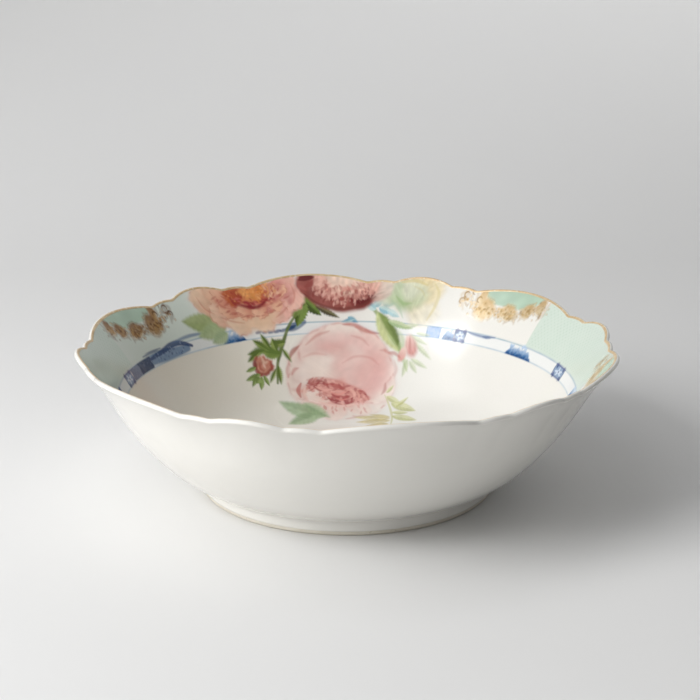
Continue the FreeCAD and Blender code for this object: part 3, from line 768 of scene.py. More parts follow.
def paint_left_bud(painting):
    """A red bud hanging from its stem between green sepals."""
    brush(painting, [(-31, 121), (-35, 113), (-37, 104), (-38.5, 92), (-37, 80)], 1.9, (104, 118, 62),
          0.9, taper=0.4, soft=1.0)
    brush(painting, [(-36, 108), (-38, 100), (-38.4, 93)], 3.0, (84, 98, 44), 0.6, taper=0.6, soft=1.4)
    sepals = [
        ((-36, 104), (-45, 100), 2.2), ((-37, 100), (-31, 94), 1.2), ((-38, 97), (-49, 95), 3.6),
        ((-40, 98), (-44, 104), 2.2), ((-44, 97), (-55, 99), 2.2), ((-47, 96), (-56, 90), 2.0),
        ((-50, 94), (-55, 86), 1.7), ((-44, 98), (-51, 104), 1.7), ((-38, 90), (-35, 80), 1.6),
        ((-39, 88), (-41, 79), 1.2)]
    leaves(painting, sepals, (142, 158, 86), (96, 114, 54), rib=(84, 102, 48), teeth=0.2, soft=2.0)
    brushes(painting, [([(-52, 95), (-46, 96.8), (-38, 96.4)], 4.4, (100, 122, 58), 0.6),
                       ([(-45, 93), (-42, 95.4), (-38, 98)], 3.4, (100, 122, 58), 0.6)],
            taper=0.6, soft=2.6)
    petal(painting, (-46, 87.3), (5.6, 5.2), 250, (186, 118, 100), (196, 140, 118), seed=130, ripple=0.1,
          shadow=0.1, grain=0.25, soft=0.4)
    brushes(painting, [
        ([(-50.6, 91), (-51.4, 86.4), (-48, 82.2), (-44, 83), (-41.4, 87.4)], 2.4, (142, 58, 52), 0.75),
        ([(-51.2, 88), (-50, 84)], 2.2, (126, 48, 44), 0.75),
        ([(-42.4, 90.6), (-41, 87.6)], 1.8, (150, 66, 58), 0.75),
        ([(-48.4, 88), (-47.6, 85.4), (-45.6, 84.6)], 1.3, (170, 84, 74), 0.75),
        ([(-48, 91.6), (-46, 89.4), (-44.4, 90.4)], 1.8, (224, 186, 164), 0.75),
        ([(-46.4, 88.4), (-45, 86.6)], 1.2, (230, 196, 178), 0.75)], taper=0.5, soft=1.4)
    for start, end, width in (((-47, 82), (-54, 75), 1.6), ((-48, 82), (-50, 73), 1.5),
                              ((-46, 81), (-45, 73), 1.5), ((-45, 82), (-41, 77), 1.2),
                              ((-50, 85), (-55, 80), 1.2), ((-47, 80), (-48, 76), 2.2)):
        leaf(painting, start, end, width, (152, 170, 104), (120, 138, 76), seed=int(-start[0]),
             teeth=0.35, soft=0.9)


def paint_right_bud(painting):
    """A pink bud among fine pale sprigs."""
    sprigs = [
        ((32, 113), (42, 112), 1.28), ((36, 108), (45, 100), 1.28), ((38, 104), (46, 91), 1.28),
        ((33, 95), (29, 86), 1.44), ((34, 94), (37, 86), 1.28), ((35, 95), (43, 87), 1.28),
        ((30, 106), (30, 94), 1.6), ((27, 104), (23, 111), 1.28), ((31, 97), (32, 88), 1.12),
        ((40, 108), (48, 104), 0.96)]
    leaves(painting, sprigs, (196, 208, 164), (164, 182, 128), teeth=0.35, strength=0.6, soft=1.4)
    petal(painting, (35.8, 102), (6, 3.4), 95, (208, 148, 142), (226, 190, 180), seed=140, egg=-0.2,
          grain=0.15, soft=0.7)
    brush(painting, [(34.8, 98), (35.4, 103), (36, 107)], 1.4, (184, 104, 104), 0.5, soft=1.2)
    petal(painting, (30.4, 98.5), (4, 2.2), 60, (216, 158, 150), (230, 198, 188), seed=141, soft=0.7)
    brush(painting, [(21, 101), (26, 100), (29, 97)], 1.9, (186, 112, 104), 0.55, soft=1.2)


def paint_front_leaves(painting):
    """The soft pair of leaves and the ochre sprigs on the floor in front of the main rose."""
    light, dark = (166, 187, 146), (144, 168, 124)
    leaves(painting, [((-11, 62), (-35, 69), 5.6), ((-15, 64), (-29, 52), 4.6)], light, dark,
           bend=0.1, teeth=0.1, strength=0.9, soft=3.0)
    leaves(painting, [((-22, 71), (-9, 61), 3.4)], light, dark, bend=0.1, teeth=0.1, strength=0.8,
           soft=3.0)
    for start, end, width in (((21, 59), (3, 61.5), 2.2), ((21, 57), (4, 56.5), 2.4),
                              ((20, 54), (7, 50.5), 2.2), ((21, 60), (11, 63.5), 1.4)):
        leaf(painting, start, end, width, (218, 206, 156), (204, 188, 132), seed=int(end[1]),
             strength=0.8, soft=1.4)
    brush(painting, [(19, 77), (21, 69), (22, 60), (21, 52)], 1.2, (200, 198, 146), 0.7)
    sprig = [
        ((20, 76), (27, 69), 1.8), ((22, 71), (34, 62.5), 2.8), ((24, 68), (31, 73), 1.2),
        ((22, 61), (34, 55), 2.4), ((22, 64), (30, 62), 1.4), ((20, 78), (24, 82), 1.0)]
    leaves(painting, sprig, (212, 212, 160), (188, 190, 124), strength=0.8, soft=1.2)


# ---------------------------------------------------------------- the border

# Display colours, from 0 to 255.
MINT_GROUND = (204, 217, 206)
MINT_RESERVE = (177, 200, 180)
BAND_GROUND = (229, 231, 230)
BLUE, PALE_BLUE, DARK_BLUE = (72, 120, 170), (164, 192, 222), (10, 54, 108)
NAVY = (0, 42, 86)
VIOLET_BLUE = (92, 100, 142)
# Dark, middle and light gold of the scrolls. The left set is painted shade: the same gold made darker
# and browner for the scroll left of the bouquet at the back, which lies in shade.
SCROLL_GOLD_LIT_AND_SHADED = {"left": ((90, 50, 6), (130, 80, 18), (178, 138, 78)),
               "right": ((156, 122, 66), (206, 172, 118), (224, 204, 166))}
MID_BAND = (BAND_INNER + BAND_OUTER) / 2


def offset_from(painting, azimuth):
    """Signed angle of each painted place from an azimuth, in degrees."""
    return (painting.azimuth - azimuth + 180) % 360 - 180


def paint_grounds(painting):
    """The mint grounds of the panels, and the band's faintly blue ground with its two lines."""
    outside = smooth(BAND_OUTER - 0.4, BAND_OUTER + 0.4, painting.reach)
    every = np.arange(len(painting.u))
    for offset in PANEL_OFFSETS.values():
        gap = np.abs(offset_from(painting, BOUQUET_AXIS + offset))
        mottle = 0.90 + 0.10 * noise(painting.u, painting.v, 7, 31)
        painting.lay(every, outside * smooth(PANEL_HALF + 0.4, PANEL_HALF - 0.4, gap) * mottle,
                     linear(MINT_GROUND))
        border = np.exp(-((gap - PANEL_HALF) / 0.22) ** 2)
        painting.lay(every, 0.25 * outside * border, linear(MINT_RESERVE))
    offset = offset_from(painting, BOUQUET_AXIS)
    left_of_bouquet = smooth(30, 36, offset) * smooth(70, 66, offset)
    painting.lay(every, 0.7 * outside * left_of_bouquet, linear(MINT_GROUND))
    band = smooth(BAND_INNER - 0.3, BAND_INNER + 0.3, painting.reach) * (1 - outside)
    painting.lay(every, 0.8 * band, linear(BAND_GROUND))
    for reach, strength, colour in ((BAND_OUTER - 0.3, 0.8, (122, 158, 176)),
                                    (BAND_INNER + 0.3, 0.6, (150, 176, 194))):
        line = np.exp(-((painting.reach - reach) / 0.42) ** 2)
        worn = 0.65 + 0.35 * noise(painting.u, painting.v, 5, 33)
        painting.lay(every, strength * line * worn, linear(colour))


def band_place(painting, azimuth, half_width):
    """Places near a motif of the band: which, how far along it in mm, and 0 to 1 up the band."""
    where = painting.near(*spot(azimuth, MID_BAND), half_width + 6)
    across = np.radians(offset_from(painting, azimuth)[where]) * MID_BAND
    rise = (painting.reach[where] - BAND_INNER) / (BAND_OUTER - BAND_INNER)
    return where, across, rise


def mottle(painting, where, low, high, size, seed):
    """Random shares between low and high, like the uneven ink of a print."""
    grain = noise(painting.u[where], painting.v[where], size, seed)
    return low + (high - low) * smooth(0.25, 0.75, grain)


def ink(painting, where, cover, colour, low, size, seed):
    """Lays one ink of the print, with random shares of it down to low."""
    painting.lay(where, cover * mottle(painting, where, low, 1.0, size, seed), linear(colour))


def paint_hump(painting, azimuth, half_width, lean=0.0):
    """A hump of dense blue hatching, darkest along its foot, that fades towards a ragged top."""
    where, across, rise = band_place(painting, azimuth, half_width)
    share = (across - lean * rise * half_width) / half_width
    top = smooth(1.0, 0.42, np.abs(share)) * mottle(painting, where, 0.7, 1.15, 1.5, 61)
    cover = smooth(top + 0.10, top - 0.25, rise) * smooth(0.0, 0.06, rise)
    ink(painting, where, 0.9 * cover, PALE_BLUE, 0.8, 0.8, 62)
    ink(painting, where, cover * smooth(0.95, 0.25, rise), BLUE, 0.72, 1.0, 63)
    ink(painting, where, 0.75 * cover * smooth(0.42, 0.10, rise), DARK_BLUE, 0.5, 1.3, 64)
    lines = np.sin(2 * math.pi * (across + rise * 3.4) / 1.7) ** 2
    painting.lay(where, 0.28 * cover * lines * smooth(0.2, 0.7, rise), linear(BAND_GROUND))


def paint_solid(painting, azimuth, half_width, colour, strength=0.9, flecks=0.3):
    """A block that fills the band unevenly."""
    where, across, rise = band_place(painting, azimuth, half_width)
    edge = half_width + 0.35 * np.sin(rise * 9 + azimuth)
    cover = smooth(edge + 0.6, edge - 0.6, np.abs(across)) * smooth(0.0, 0.1, rise)
    cover = cover * smooth(1.02, 0.92, rise)
    ink(painting, where, strength * cover, colour, 0.96, 1.2, 65)
    fleck = smooth(0.74, 0.92, noise(painting.u[where], painting.v[where], 0.9, 66))
    painting.lay(where, flecks * cover * fleck, linear(PALE_BLUE))


def band_point(azimuth, across, rise):
    """A place on the band: so far along from an azimuth, and 0 to 1 up the band."""
    return spot(azimuth + math.degrees(across / MID_BAND), BAND_INNER + rise * (BAND_OUTER - BAND_INNER))


def paint_flower_box(painting, azimuth, half_width, seed):
    """A dark box across the band, with the pale petals of a small flower in it."""
    random = np.random.default_rng(SEED + seed)
    paint_solid(painting, azimuth, half_width, BLUE, 0.75)
    for side in (-1, 1):
        ends = [band_point(azimuth, side * half_width, rise) for rise in (0.04, 0.5, 0.96)]
        brush(painting, ends, 1.0, DARK_BLUE, 0.6, taper=0.2, soft=0.7)
        ends = [band_point(azimuth, half_width * share, 0.5 + 0.44 * side) for share in (-1, 0, 1)]
        brush(painting, ends, 1.0, VIOLET_BLUE, 0.7, taper=0.2, soft=0.7)
        for rise in (0.12, 0.88):
            corner = band_point(azimuth, 0.72 * side * half_width, rise)
            petal(painting, corner, (1.5, 1.1), random.uniform(0, 180), DARK_BLUE, VIOLET_BLUE, soft=0.8,
                  strength=0.8)
    for turn in range(5):
        angle = 2 * math.pi * (turn + random.uniform(-0.2, 0.2)) / 5
        tip = band_point(azimuth, 0.62 * half_width * math.cos(angle), 0.5 + 0.32 * math.sin(angle))
        brush(painting, [band_point(azimuth, 0, 0.5), tip], 1.2, (212, 222, 234), 0.75, taper=0.3,
              soft=0.7)
    brush(painting, [band_point(azimuth, -0.3, 0.5), band_point(azimuth, 0.3, 0.5)], 1.0, VIOLET_BLUE,
          0.8, taper=0.0)


def paint_wave(painting, azimuth, half_width, turns):
    """A rolling scroll of blue from one end of the motif to the other."""
    where, across, rise = band_place(painting, azimuth, half_width)
    share = across / half_width
    crest = 0.5 + 0.40 * np.sin(math.pi * turns * (share + 1))
    inside = smooth(1.0, 0.88, np.abs(share)) * smooth(0.0, 0.08, rise) * smooth(1.0, 0.92, rise)
    below = inside * smooth(crest + 0.12, crest - 0.12, rise)
    ink(painting, where, 0.35 * inside, PALE_BLUE, 0.2, 1.2, 67)
    ink(painting, where, 0.85 * below, BLUE, 0.45, 1.6, 68)
    ink(painting, where, 0.5 * below, DARK_BLUE, 0.0, 1.0, 69)
    for lift, width, colour, strength in ((0.0, 2.0, DARK_BLUE, 0.9), (-0.3, 1.0, BLUE, 0.7),
                                          (0.24, 0.7, BLUE, 0.5)):
        line = []
        for step in np.linspace(-1, 1, 8 * turns + 1):
            height = 0.5 + lift + 0.38 * math.sin(math.pi * turns * (step + 1))
            line.append(band_point(azimuth, half_width * step, min(max(height, 0.05), 0.97)))
        brush(painting, line, width, colour, strength, taper=0.35, soft=0.6)


def paint_roller(painting):
    """A rolling crest that grows out of the dark block at the far left and curls over its end."""
    body = [spot(250, 117.2), spot(245, 117.2), spot(241, 116.9), spot(237, 116.6), spot(231, 116.6)]
    brush(painting, body, 6.2, (58, 106, 150), 0.8, taper=0.4, soft=1.6)
    crest = [spot(247.2, 118), spot(243.2, 118.6), spot(239.6, 119.4), spot(236.8, 120.4),
             spot(234, 120.4), spot(231.4, 119), spot(229.2, 117)]
    brush(painting, crest, 3.0, DARK_BLUE, 0.9, taper=0.5, soft=1.0)
    brush(painting, [spot(250, 120.8), spot(245.6, 121), spot(241, 121)], 1.6, DARK_BLUE, 0.7, soft=0.8)
    random = np.random.default_rng(SEED + 60)
    for _ in range(70):
        azimuth = random.uniform(232, 249)
        reach = 117 + random.uniform(-2.6, 2.6)
        colour = ((24, 44, 84), (90, 116, 154), (150, 170, 194))[random.integers(3)]
        brush(painting, [spot(azimuth, reach), spot(azimuth + random.uniform(-0.5, 0.5), reach + 1)],
              random.uniform(0.6, 1.2), colour, 0.5, soft=0.7)


def paint_swag(painting, azimuth, half_width, lean):
    """A thin swag that hangs from the band's upper line, thicker towards one end."""
    def point(share, drop):
        return spot(azimuth + math.degrees(share * half_width / MID_BAND), BAND_OUTER - drop)

    for width, colour, strength in ((1.7, (132, 158, 190), 0.6), (0.8, VIOLET_BLUE, 0.6)):
        brush(painting, [point(-1, 0.3), point(-0.5, 0.8), point(0.3 * lean, 1.2), point(0.6, 0.9),
                         point(1, 0.3)], width, colour, strength, taper=0.5, soft=0.8)
    brush(painting, [point(0.1 * lean, 1.2), point(0.7 * lean, 1.2)], 1.5, (74, 102, 144), 0.6, soft=0.9)


def paint_block(painting, azimuth, half_width):
    """A block of soft pale blue with a darker edge."""
    where, across, rise = band_place(painting, azimuth, half_width)
    cover = smooth(half_width + 0.4, half_width - 0.4, np.abs(across)) * smooth(0.02, 0.1, rise)
    cover = cover * smooth(1.0, 0.92, rise)
    ink(painting, where, 0.9 * cover, (136, 168, 212), 0.85, 1.4, 70)
    edge = np.maximum(smooth(1.3, 0.2, half_width - np.abs(across)),
                      smooth(0.30, 0.46, np.abs(rise - 0.5)))
    ink(painting, where, 0.5 * cover * edge, BLUE, 0.4, 1.0, 71)


def paint_band(painting):
    """The motifs of the band, counted in azimuth."""
    paint_block(painting, 154.6, 4.4)
    for azimuth, half_width, lean in ((123.8, 12.5, 0.2), (149.6, 4.5, 0.1), (84, 8, 0.1), (63, 9, 0.0),
                                      (28, 12, 0.0), (352, 12, 0.1), (318, 10, 0.0),
                                      (214.5, 9, 0.2)):
        paint_hump(painting, azimuth, half_width, lean)
    for azimuth, half_width in ((146.2, 3.4), (103.2, 6.2), (46, 5), (0, 5), (334, 5), (300, 5),
                                (263, 5.5), (277, 5)):
        paint_flower_box(painting, azimuth, half_width, int(azimuth))
    for azimuth, half_width, turns in ((73, 8, 2), (14, 8, 2), (290, 9, 2), (310, 6, 1), (37, 6, 1)):
        paint_wave(painting, azimuth, half_width, turns)
    paint_roller(painting)
    for azimuth, half_width, lean in ((139.4, 9.5, -1), (54, 8, 1), (342, 8, -1), (325, 7, 1)):
        paint_swag(painting, azimuth, half_width, lean)
    for azimuth, half_width, colour in ((256.8, 6.4, (74, 96, 132)), (20, 4, DARK_BLUE)):
        paint_solid(painting, azimuth, half_width, colour)
    paint_solid(painting, 250.8, 7.2, NAVY, 1.0, 0.12)
    dashes = [(206.4, 116.9), (204.4, 116.6), (202.6, 116.3), (200.8, 116.2), (199, 116.4), (197, 117.2),
              (195.6, 118)]
    for azimuth, reach in dashes:
        brush(painting, [spot(azimuth + 0.8, reach - 0.3), spot(azimuth - 0.8, reach + 0.3)],
              1.8, (48, 74, 116), 0.75, taper=0.3, soft=1.2)
    knot = [spot(197.6, 116.8), spot(195.4, 118), spot(192.6, 120)]
    brush(painting, knot, 4.4, (56, 84, 120), 0.75, taper=0.4, soft=1.4)
    brush(painting, knot[:2], 2.2, (34, 58, 96), 0.7, taper=0.4, soft=1.2)
    brush(painting, [spot(195.4, 117.4), spot(193.6, 118.6)], 1.2, (150, 178, 168), 0.5, soft=1.0)
    brush(painting, [spot(236, 121.4), spot(229, 122), spot(222, 121.6)], 1.8, (84, 112, 150), 0.7,
          soft=1.2)


def scroll_side(offset):
    """1 for the scrolls right of the bouquet, and -1 for the others, which are mirror images."""
    return -1 if offset > 0 else 1


def paint_cartouche(painting, centre, side):
    """A mint reserve hung from the rim in a gilt scroll frame. side is -1 for a mirror image."""
    def at(dx, reach):
        return spot(centre + side * dx, reach)

    where = painting.near(*spot(centre, 140), 34)
    if not len(where):
        return
    dx = side * offset_from(painting, centre)[where]
    left = np.interp(painting.reach[where], [134.5, 137, 141, 147], [-1.0, -5.6, -8.6, -10.5])
    right = np.interp(painting.reach[where], [134.5, 137, 141, 147], [3.5, 5.4, 7.2, 9.0])
    cover = smooth(left - 0.4, left + 0.4, dx) * smooth(right + 0.4, right - 0.4, dx)
    cover = cover * smooth(135.6, 137.4, painting.reach[where])
    tone = noise(painting.u[where], painting.v[where], 5, 35)[:, None]
    painting.lay(where, cover, linear(MINT_RESERVE) * (0.93 + 0.14 * tone))

    inward = centre + 90
    # The back-left scroll takes the gold darkened and browned as painted shade.
    dark_gold, gold, light_gold = SCROLL_GOLD_LIT_AND_SHADED["left" if BOUQUET_AXIS < centre < 270 else "right"]
    masses = [
        (at(5.8, 133.6), (6.2, 6.6), inward + side * 4, 0.30),
        (at(7.8, 140.2), (4.8, 2.6), inward, 0.2),
        (at(-1.4, 133.8), (4.4, 6.6), inward - side * 6, 0.1),
        (at(-7.0, 137.2), (4.4, 4.0), inward - side * 30, 0.1),
        (at(-10.4, 141.2), (4.8, 3.0), inward - side * 8, 0.0)]
    for seed, (middle, size, turn, egg) in enumerate(masses, start=150):
        petal(painting, middle, size, turn, gold, light_gold, egg=egg, ripple=0.05, soft=0.7, gilt=1.0,
              grain=0.1, seed=seed, strength=0.9)
    strokes = [
        ([(-12.2, 146), (-12.2, 141), (-12.4, 137.5), (-11.4, 134)], 2.2),
        ([(-10.4, 146), (-9.6, 141), (-7.6, 138), (-5.2, 136.4)], 3.2),
        ([(-8.4, 136.5), (-6.6, 134.6), (-5.8, 131)], 2.2),
        ([(-4.6, 134.4), (-4.2, 131.6), (-4.8, 128.8)], 2.0),
        ([(-2.2, 134.6), (-2.4, 131), (-1.6, 127.8)], 2.6),
        ([(0.6, 135), (0.8, 132), (1.8, 129.2)], 2.2),
        ([(1.8, 135.6), (2.6, 133.4), (3.2, 131.4)], 2.0),
        ([(4.0, 132), (3.6, 130), (3.8, 127.8)], 2.2),
        ([(6.4, 131), (6.0, 128.6), (5.2, 126.6)], 3.0),
        ([(8.4, 132), (8.6, 129.6), (7.8, 127.6)], 2.4),
        ([(8.8, 143.8), (8.2, 140.5), (7.0, 137), (5.4, 134.6)], 3.2),
        ([(10.2, 144.4), (9.6, 141), (9.4, 138), (9.8, 134.6)], 1.8),
        ([(13.0, 142.4), (12.4, 138.5), (12.8, 134.5), (12.2, 131)], 2.6),
        ([(12.4, 141.5), (13.8, 139.6), (13.8, 137)], 2.0),
        ([(12.3, 140.5), (11.0, 139), (10.8, 136.4)], 1.8),
        ([(12.7, 136.5), (13.6, 134.8), (13.2, 132.6)], 1.6)]
    strokes = [([at(*point) for point in points], width) for points, width in strokes]
    for points, width in strokes:
        brush(painting, points, width + 0.4, dark_gold, 0.14, taper=0.6, gilt=0.9, soft=1.8)
    for points, width in strokes:
        brush(painting, points, 0.9 * width, gold, 0.22, taper=0.65, gilt=1.0, soft=1.8)
    garland = np.array([(-12.4, 139), (-9.6, 138.4), (-6.6, 135.6), (-3, 132.6), (0.6, 132), (4, 131.2),
                        (7.4, 131), (9.4, 133.4), (12.6, 137)])
    step = np.arange(len(garland))
    random = np.random.default_rng(SEED + 50)
    for _ in range(330):
        along = random.uniform(0, len(garland) - 1)
        dx = np.interp(along, step, garland[:, 0]) + random.normal(0, 0.8)
        reach = np.interp(along, step, garland[:, 1]) + random.normal(0, 1.7)
        tone = (dark_gold, gold, light_gold)[random.integers(3)]
        start = at(dx, reach)
        end = from_middle(start, random.uniform(0, 180), random.uniform(0.4, 1.4))
        brush(painting, [start, end], random.uniform(1.0, 2.2), tone, 0.5, gilt=1.0, soft=1.2)
    for dx, reach in ((12.4, 139.4), (10.4, 141.6), (13.2, 135.6), (8.4, 137.6)):
        curl = [from_middle(at(dx, reach), turn, 1.7) for turn in range(0, 300, 60)]
        brush(painting, curl, 1.1, dark_gold, 0.75, gilt=1.0, soft=0.7)


def paint_border(painting):
    """Grounds, band and scrolls, all round the inside."""
    paint_grounds(painting)
    paint_band(painting)
    for offset in SCROLL_OFFSETS.values():
        paint_cartouche(painting, BOUQUET_AXIS + offset, scroll_side(offset))


def paint_warm_reflection(painting):
    """Painted warm reflected light on the shaded left: below the band, the glaze on the floor and wall
    is made a little creamier towards the left.
    """
    where = np.nonzero(painting.reach < BAND_INNER)[0]
    left = smooth(20, -80, painting.u[where])
    ink(painting, where, 0.55 * left, (236, 224, 202), 0.8, 26, 80)


def paint_everything(painting):
    """All the decoration, in the order in which the layers lie."""
    paint_warm_reflection(painting)
    paint_border(painting)
    paint_foliage(painting)
    paint_pale_rose(painting)
    paint_ruffled_rose(painting)
    paint_peach_rose(painting)
    paint_right_bud(painting)
    paint_main_rose(painting)
    paint_left_bud(painting)
    paint_front_leaves(painting)
    every = np.arange(len(painting.u))
    painting.lay(every, smooth(0.7, 0.4, painting.rim_gap), linear(GLAZE_WHITE))


def store_paint(made, painting, first=0):
    """Stores a painting on the points of a mesh from first on. The others are plain glaze."""
    mesh = made.data
    painted = slice(first, first + len(painting.u))
    colour = np.ones((len(mesh.vertices), 4), np.float32)
    colour[:, :3] = linear(GLAZE_WHITE)
    colour[painted, :3] = painting.colour
    layer = mesh.color_attributes.new("paint", "FLOAT_COLOR", "POINT")
    layer.data.foreach_set("color", colour.ravel())
    gilt = np.zeros(len(colour), np.float32)
    gilt[painted] = painting.gilt
    mesh.attributes.new("gilt", "FLOAT", "POINT").data.foreach_set("value", gilt)


def paint_rows(made, azimuth, reaches, rows_under):
    """Paints a turned solid's visible rows. Its rows are numbered from the last one back."""
    painting = Painting(np.tile(azimuth, len(reaches)), np.array(reaches)[::-1])
    paint_everything(painting)
    store_paint(made, painting, rows_under * len(azimuth))


# ---------------------------------------------------------------- materials

class Graph:
    """Small helper for building a node tree."""

    def __init__(self, name):
        self.material = bpy.data.materials.new(name)
        self.material.use_nodes = True
        self.tree = self.material.node_tree
        self.shader = self.tree.nodes["Principled BSDF"]

    def node(self, kind, **settings):
        made = self.tree.nodes.new("ShaderNode" + kind)
        for key, value in settings.items():
            setattr(made, key, value)
        return made

    def link(self, output, target):
        self.tree.links.new(output, target)

    def math(self, operation, first, second=0.0):
        made = self.node("Math", operation=operation)
        for socket, value in zip(made.inputs, (first, second)):
            if isinstance(value, (int, float)):
                socket.default_value = value
            else:
                self.link(value, socket)
        return made.outputs[0]

    def grain(self, scale, detail=4.0, roughness=0.5):
        """Noise in the object's own space. scale is about the number of features per metre."""
        place = self.node("TexCoord")
        made = self.node("TexNoise")
        made.inputs["Scale"].default_value = scale
        made.inputs["Detail"].default_value = detail
        made.inputs["Roughness"].default_value = roughness
        self.link(place.outputs["Object"], made.inputs["Vector"])
        return made.outputs["Fac"]

    def ramp(self, value, low, high):
        """Maps 0 to 1 onto low to high."""
        made = self.node("MapRange")
        made.inputs["To Min"].default_value = low
        made.inputs["To Max"].default_value = high
        self.link(value, made.inputs["Value"])
        return made.outputs["Result"]

    def blend(self, share, first, second, mode="MIX"):
        """Mixes two colours; each is a socket or three numbers."""
        made = self.node("Mix", data_type="RGBA", blend_type=mode)
        if isinstance(share, (int, float)):
            made.inputs["Factor"].default_value = share
        else:
            self.link(share, made.inputs["Factor"])
        for socket, value in ((made.inputs[6], first), (made.inputs[7], second)):
            if isinstance(value, (tuple, list, np.ndarray)):
                socket.default_value = (*value, 1)
            else:
                self.link(value, socket)
        return made.outputs[2]

    def bump(self, height, distance, strength=1.0, normal=None):
        made = self.node("Bump")
        made.inputs["Strength"].default_value = strength
        made.inputs["Distance"].default_value = distance
        self.link(height, made.inputs["Height"])
        if normal is not None:
            self.link(normal, made.inputs["Normal"])
        return made.outputs["Normal"]

    def set(self, **values):
        for key, value in values.items():
            socket = self.shader.inputs[key.replace("_", " ")]
            if isinstance(value, (int, float, tuple)):
                socket.default_value = value
            else:
                self.link(value, socket)


def scaled(colour, share=1.0):
    """A shader's colour from display values, made darker or lighter by a share."""
    return tuple(linear(colour) * share)


def glaze_waviness(graph):
    """The slow waviness and the tiny pinholes of a fired glaze."""
    slow = graph.bump(graph.grain(38, 2), 0.00022)
    fine = graph.grain(900, 2)
    return graph.bump(fine, 0.000008, 0.6, slow)


def lattice_share(graph):
    """How far the fine lattice shows: thin crossing lines, and dots where they meet."""
    place = graph.node("SeparateXYZ")
    graph.link(graph.node("Attribute", attribute_name="place").outputs["Vector"],
               place.inputs["Vector"])
    waves = []
    for operation in ("ADD", "SUBTRACT"):
        diagonal = graph.math(operation, place.outputs["X"], place.outputs["Y"])
        wave = graph.math("COSINE", graph.math("MULTIPLY", diagonal, math.pi / LATTICE_PITCH))
        waves.append(graph.math("ABSOLUTE", wave))
    line = graph.math("POWER", graph.math("MAXIMUM", *waves), 40.0)
    dot = graph.math("POWER", graph.math("MULTIPLY", *waves), 7.0)
    faint = graph.math("ADD", graph.math("MULTIPLY", line, 0.10), graph.math("MULTIPLY", dot, 0.26))
    faint = graph.math("MULTIPLY", faint, graph.ramp(graph.grain(160, 3), 0.2, 1.4))
    return graph.math("MULTIPLY", faint, place.outputs["Z"])


def make_enamel(name, lattice=False, roughness=0.19):
    """Fired enamel: colour and gilding come from the painted attributes."""
    graph = Graph(name)
    paint = graph.node("Attribute", attribute_name="paint").outputs["Color"]
    gilt = graph.node("Attribute", attribute_name="gilt").outputs["Fac"]
    grain = graph.ramp(graph.grain(2600, 3), 0.93, 1.05)
    grey = graph.node("CombineColor")
    for socket in grey.inputs:
        graph.link(grain, socket)
    colour = graph.blend(1.0, paint, grey.outputs["Color"], "MULTIPLY")
    if lattice:
        colour = graph.blend(lattice_share(graph), colour, scaled((142, 178, 150)))
    gold_grain = graph.ramp(graph.grain(1400, 4), 0.28, 0.48)
    glaze_rough = graph.ramp(graph.grain(220, 3), roughness - 0.03, roughness + 0.04)
    rough = graph.node("Mix", data_type="FLOAT")
    graph.link(gilt, rough.inputs["Factor"])
    graph.link(glaze_rough, rough.inputs[2])
    graph.link(gold_grain, rough.inputs[3])
    raised = graph.bump(gilt, 0.00006, 1.0, glaze_waviness(graph))
    graph.set(Base_Color=colour, Metallic=graph.math("MULTIPLY", gilt, 0.35),
              Roughness=rough.outputs[0], Normal=raised, IOR=1.5)
    return graph.material


def make_glaze(name, colour, roughness=0.10):
    """Clear glaze over white porcelain."""
    graph = Graph(name)
    tint = graph.ramp(graph.grain(26, 3), 0.0, 1.0)
    body = graph.blend(tint, scaled(colour, 0.985), scaled(colour, 1.02))
    speck = graph.math("GREATER_THAN", graph.grain(1300, 2), 0.79)
    body = graph.blend(graph.math("MULTIPLY", speck, 0.25), body, scaled((150, 140, 124)))
    rough = graph.ramp(graph.grain(90, 3), roughness - 0.02, roughness + 0.04)
    graph.set(Base_Color=body, Roughness=rough, Normal=glaze_waviness(graph), IOR=1.5)
    return graph.material


def make_clay(name):
    """Bare fired porcelain, slightly sandy and stained by use."""
    graph = Graph(name)
    stain = graph.ramp(graph.grain(120, 5, 0.6), 0.0, 1.0)
    colour = graph.blend(stain, scaled((206, 198, 182)), scaled((226, 221, 208)))
    dirt = graph.math("GREATER_THAN", graph.grain(900, 3), 0.66)
    colour = graph.blend(graph.math("MULTIPLY", dirt, 0.35), colour, scaled((150, 134, 110)))
    graph.set(Base_Color=colour, Roughness=graph.ramp(graph.grain(500, 4), 0.62, 0.88),
              Normal=graph.bump(graph.grain(2400, 5, 0.65), 0.00006, 0.8))
    return graph.material


def make_gold(name):
    """Burnished rim gilding, thinner and browner where it is worn."""
    graph = Graph(name)
    worn = graph.ramp(graph.grain(210, 5, 0.62), -0.35, 1.35)
    colour = graph.blend(worn, scaled((200, 164, 114)), scaled((234, 214, 178)))
    rubbed = graph.math("GREATER_THAN", graph.grain(620, 4), 0.60)
    colour = graph.blend(graph.math("MULTIPLY", rubbed, 0.6), colour, scaled((234, 224, 204)))
    rough = graph.ramp(graph.grain(900, 4), 0.28, 0.48)
    graph.set(Base_Color=colour, Metallic=0.35, Roughness=rough,
              Normal=graph.bump(graph.grain(1500, 3), 0.00002, 0.7), IOR=1.5)
    return graph.material


# ---------------------------------------------------------------- pieces

def take(made, node, material):
    """Gives a piece its finish and lets it stand for its CAD node."""
    made.data.materials.append(material)
    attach(made, "root")
    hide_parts(node)
    return made


def round_about(count):
    """Evenly spaced azimuths right round the bowl."""
    return np.linspace(0, 360, count, endpoint=False)


def thickness(reach, azimuth):
    """The wall's thickness, which falls to the lip's over the last few centimetres."""
    share = smooth(THINNING_START, THINNING_END, rim_reach(azimuth) - reach)
    return WALL_THICKNESS + (LIP_THICKNESS - WALL_THICKNESS) * share


def edge_reach(azimuth):
    """Where the flat of the wall ends and the rounding of the lip begins."""
    return rim_reach(azimuth) - LIP_THICKNESS / 2


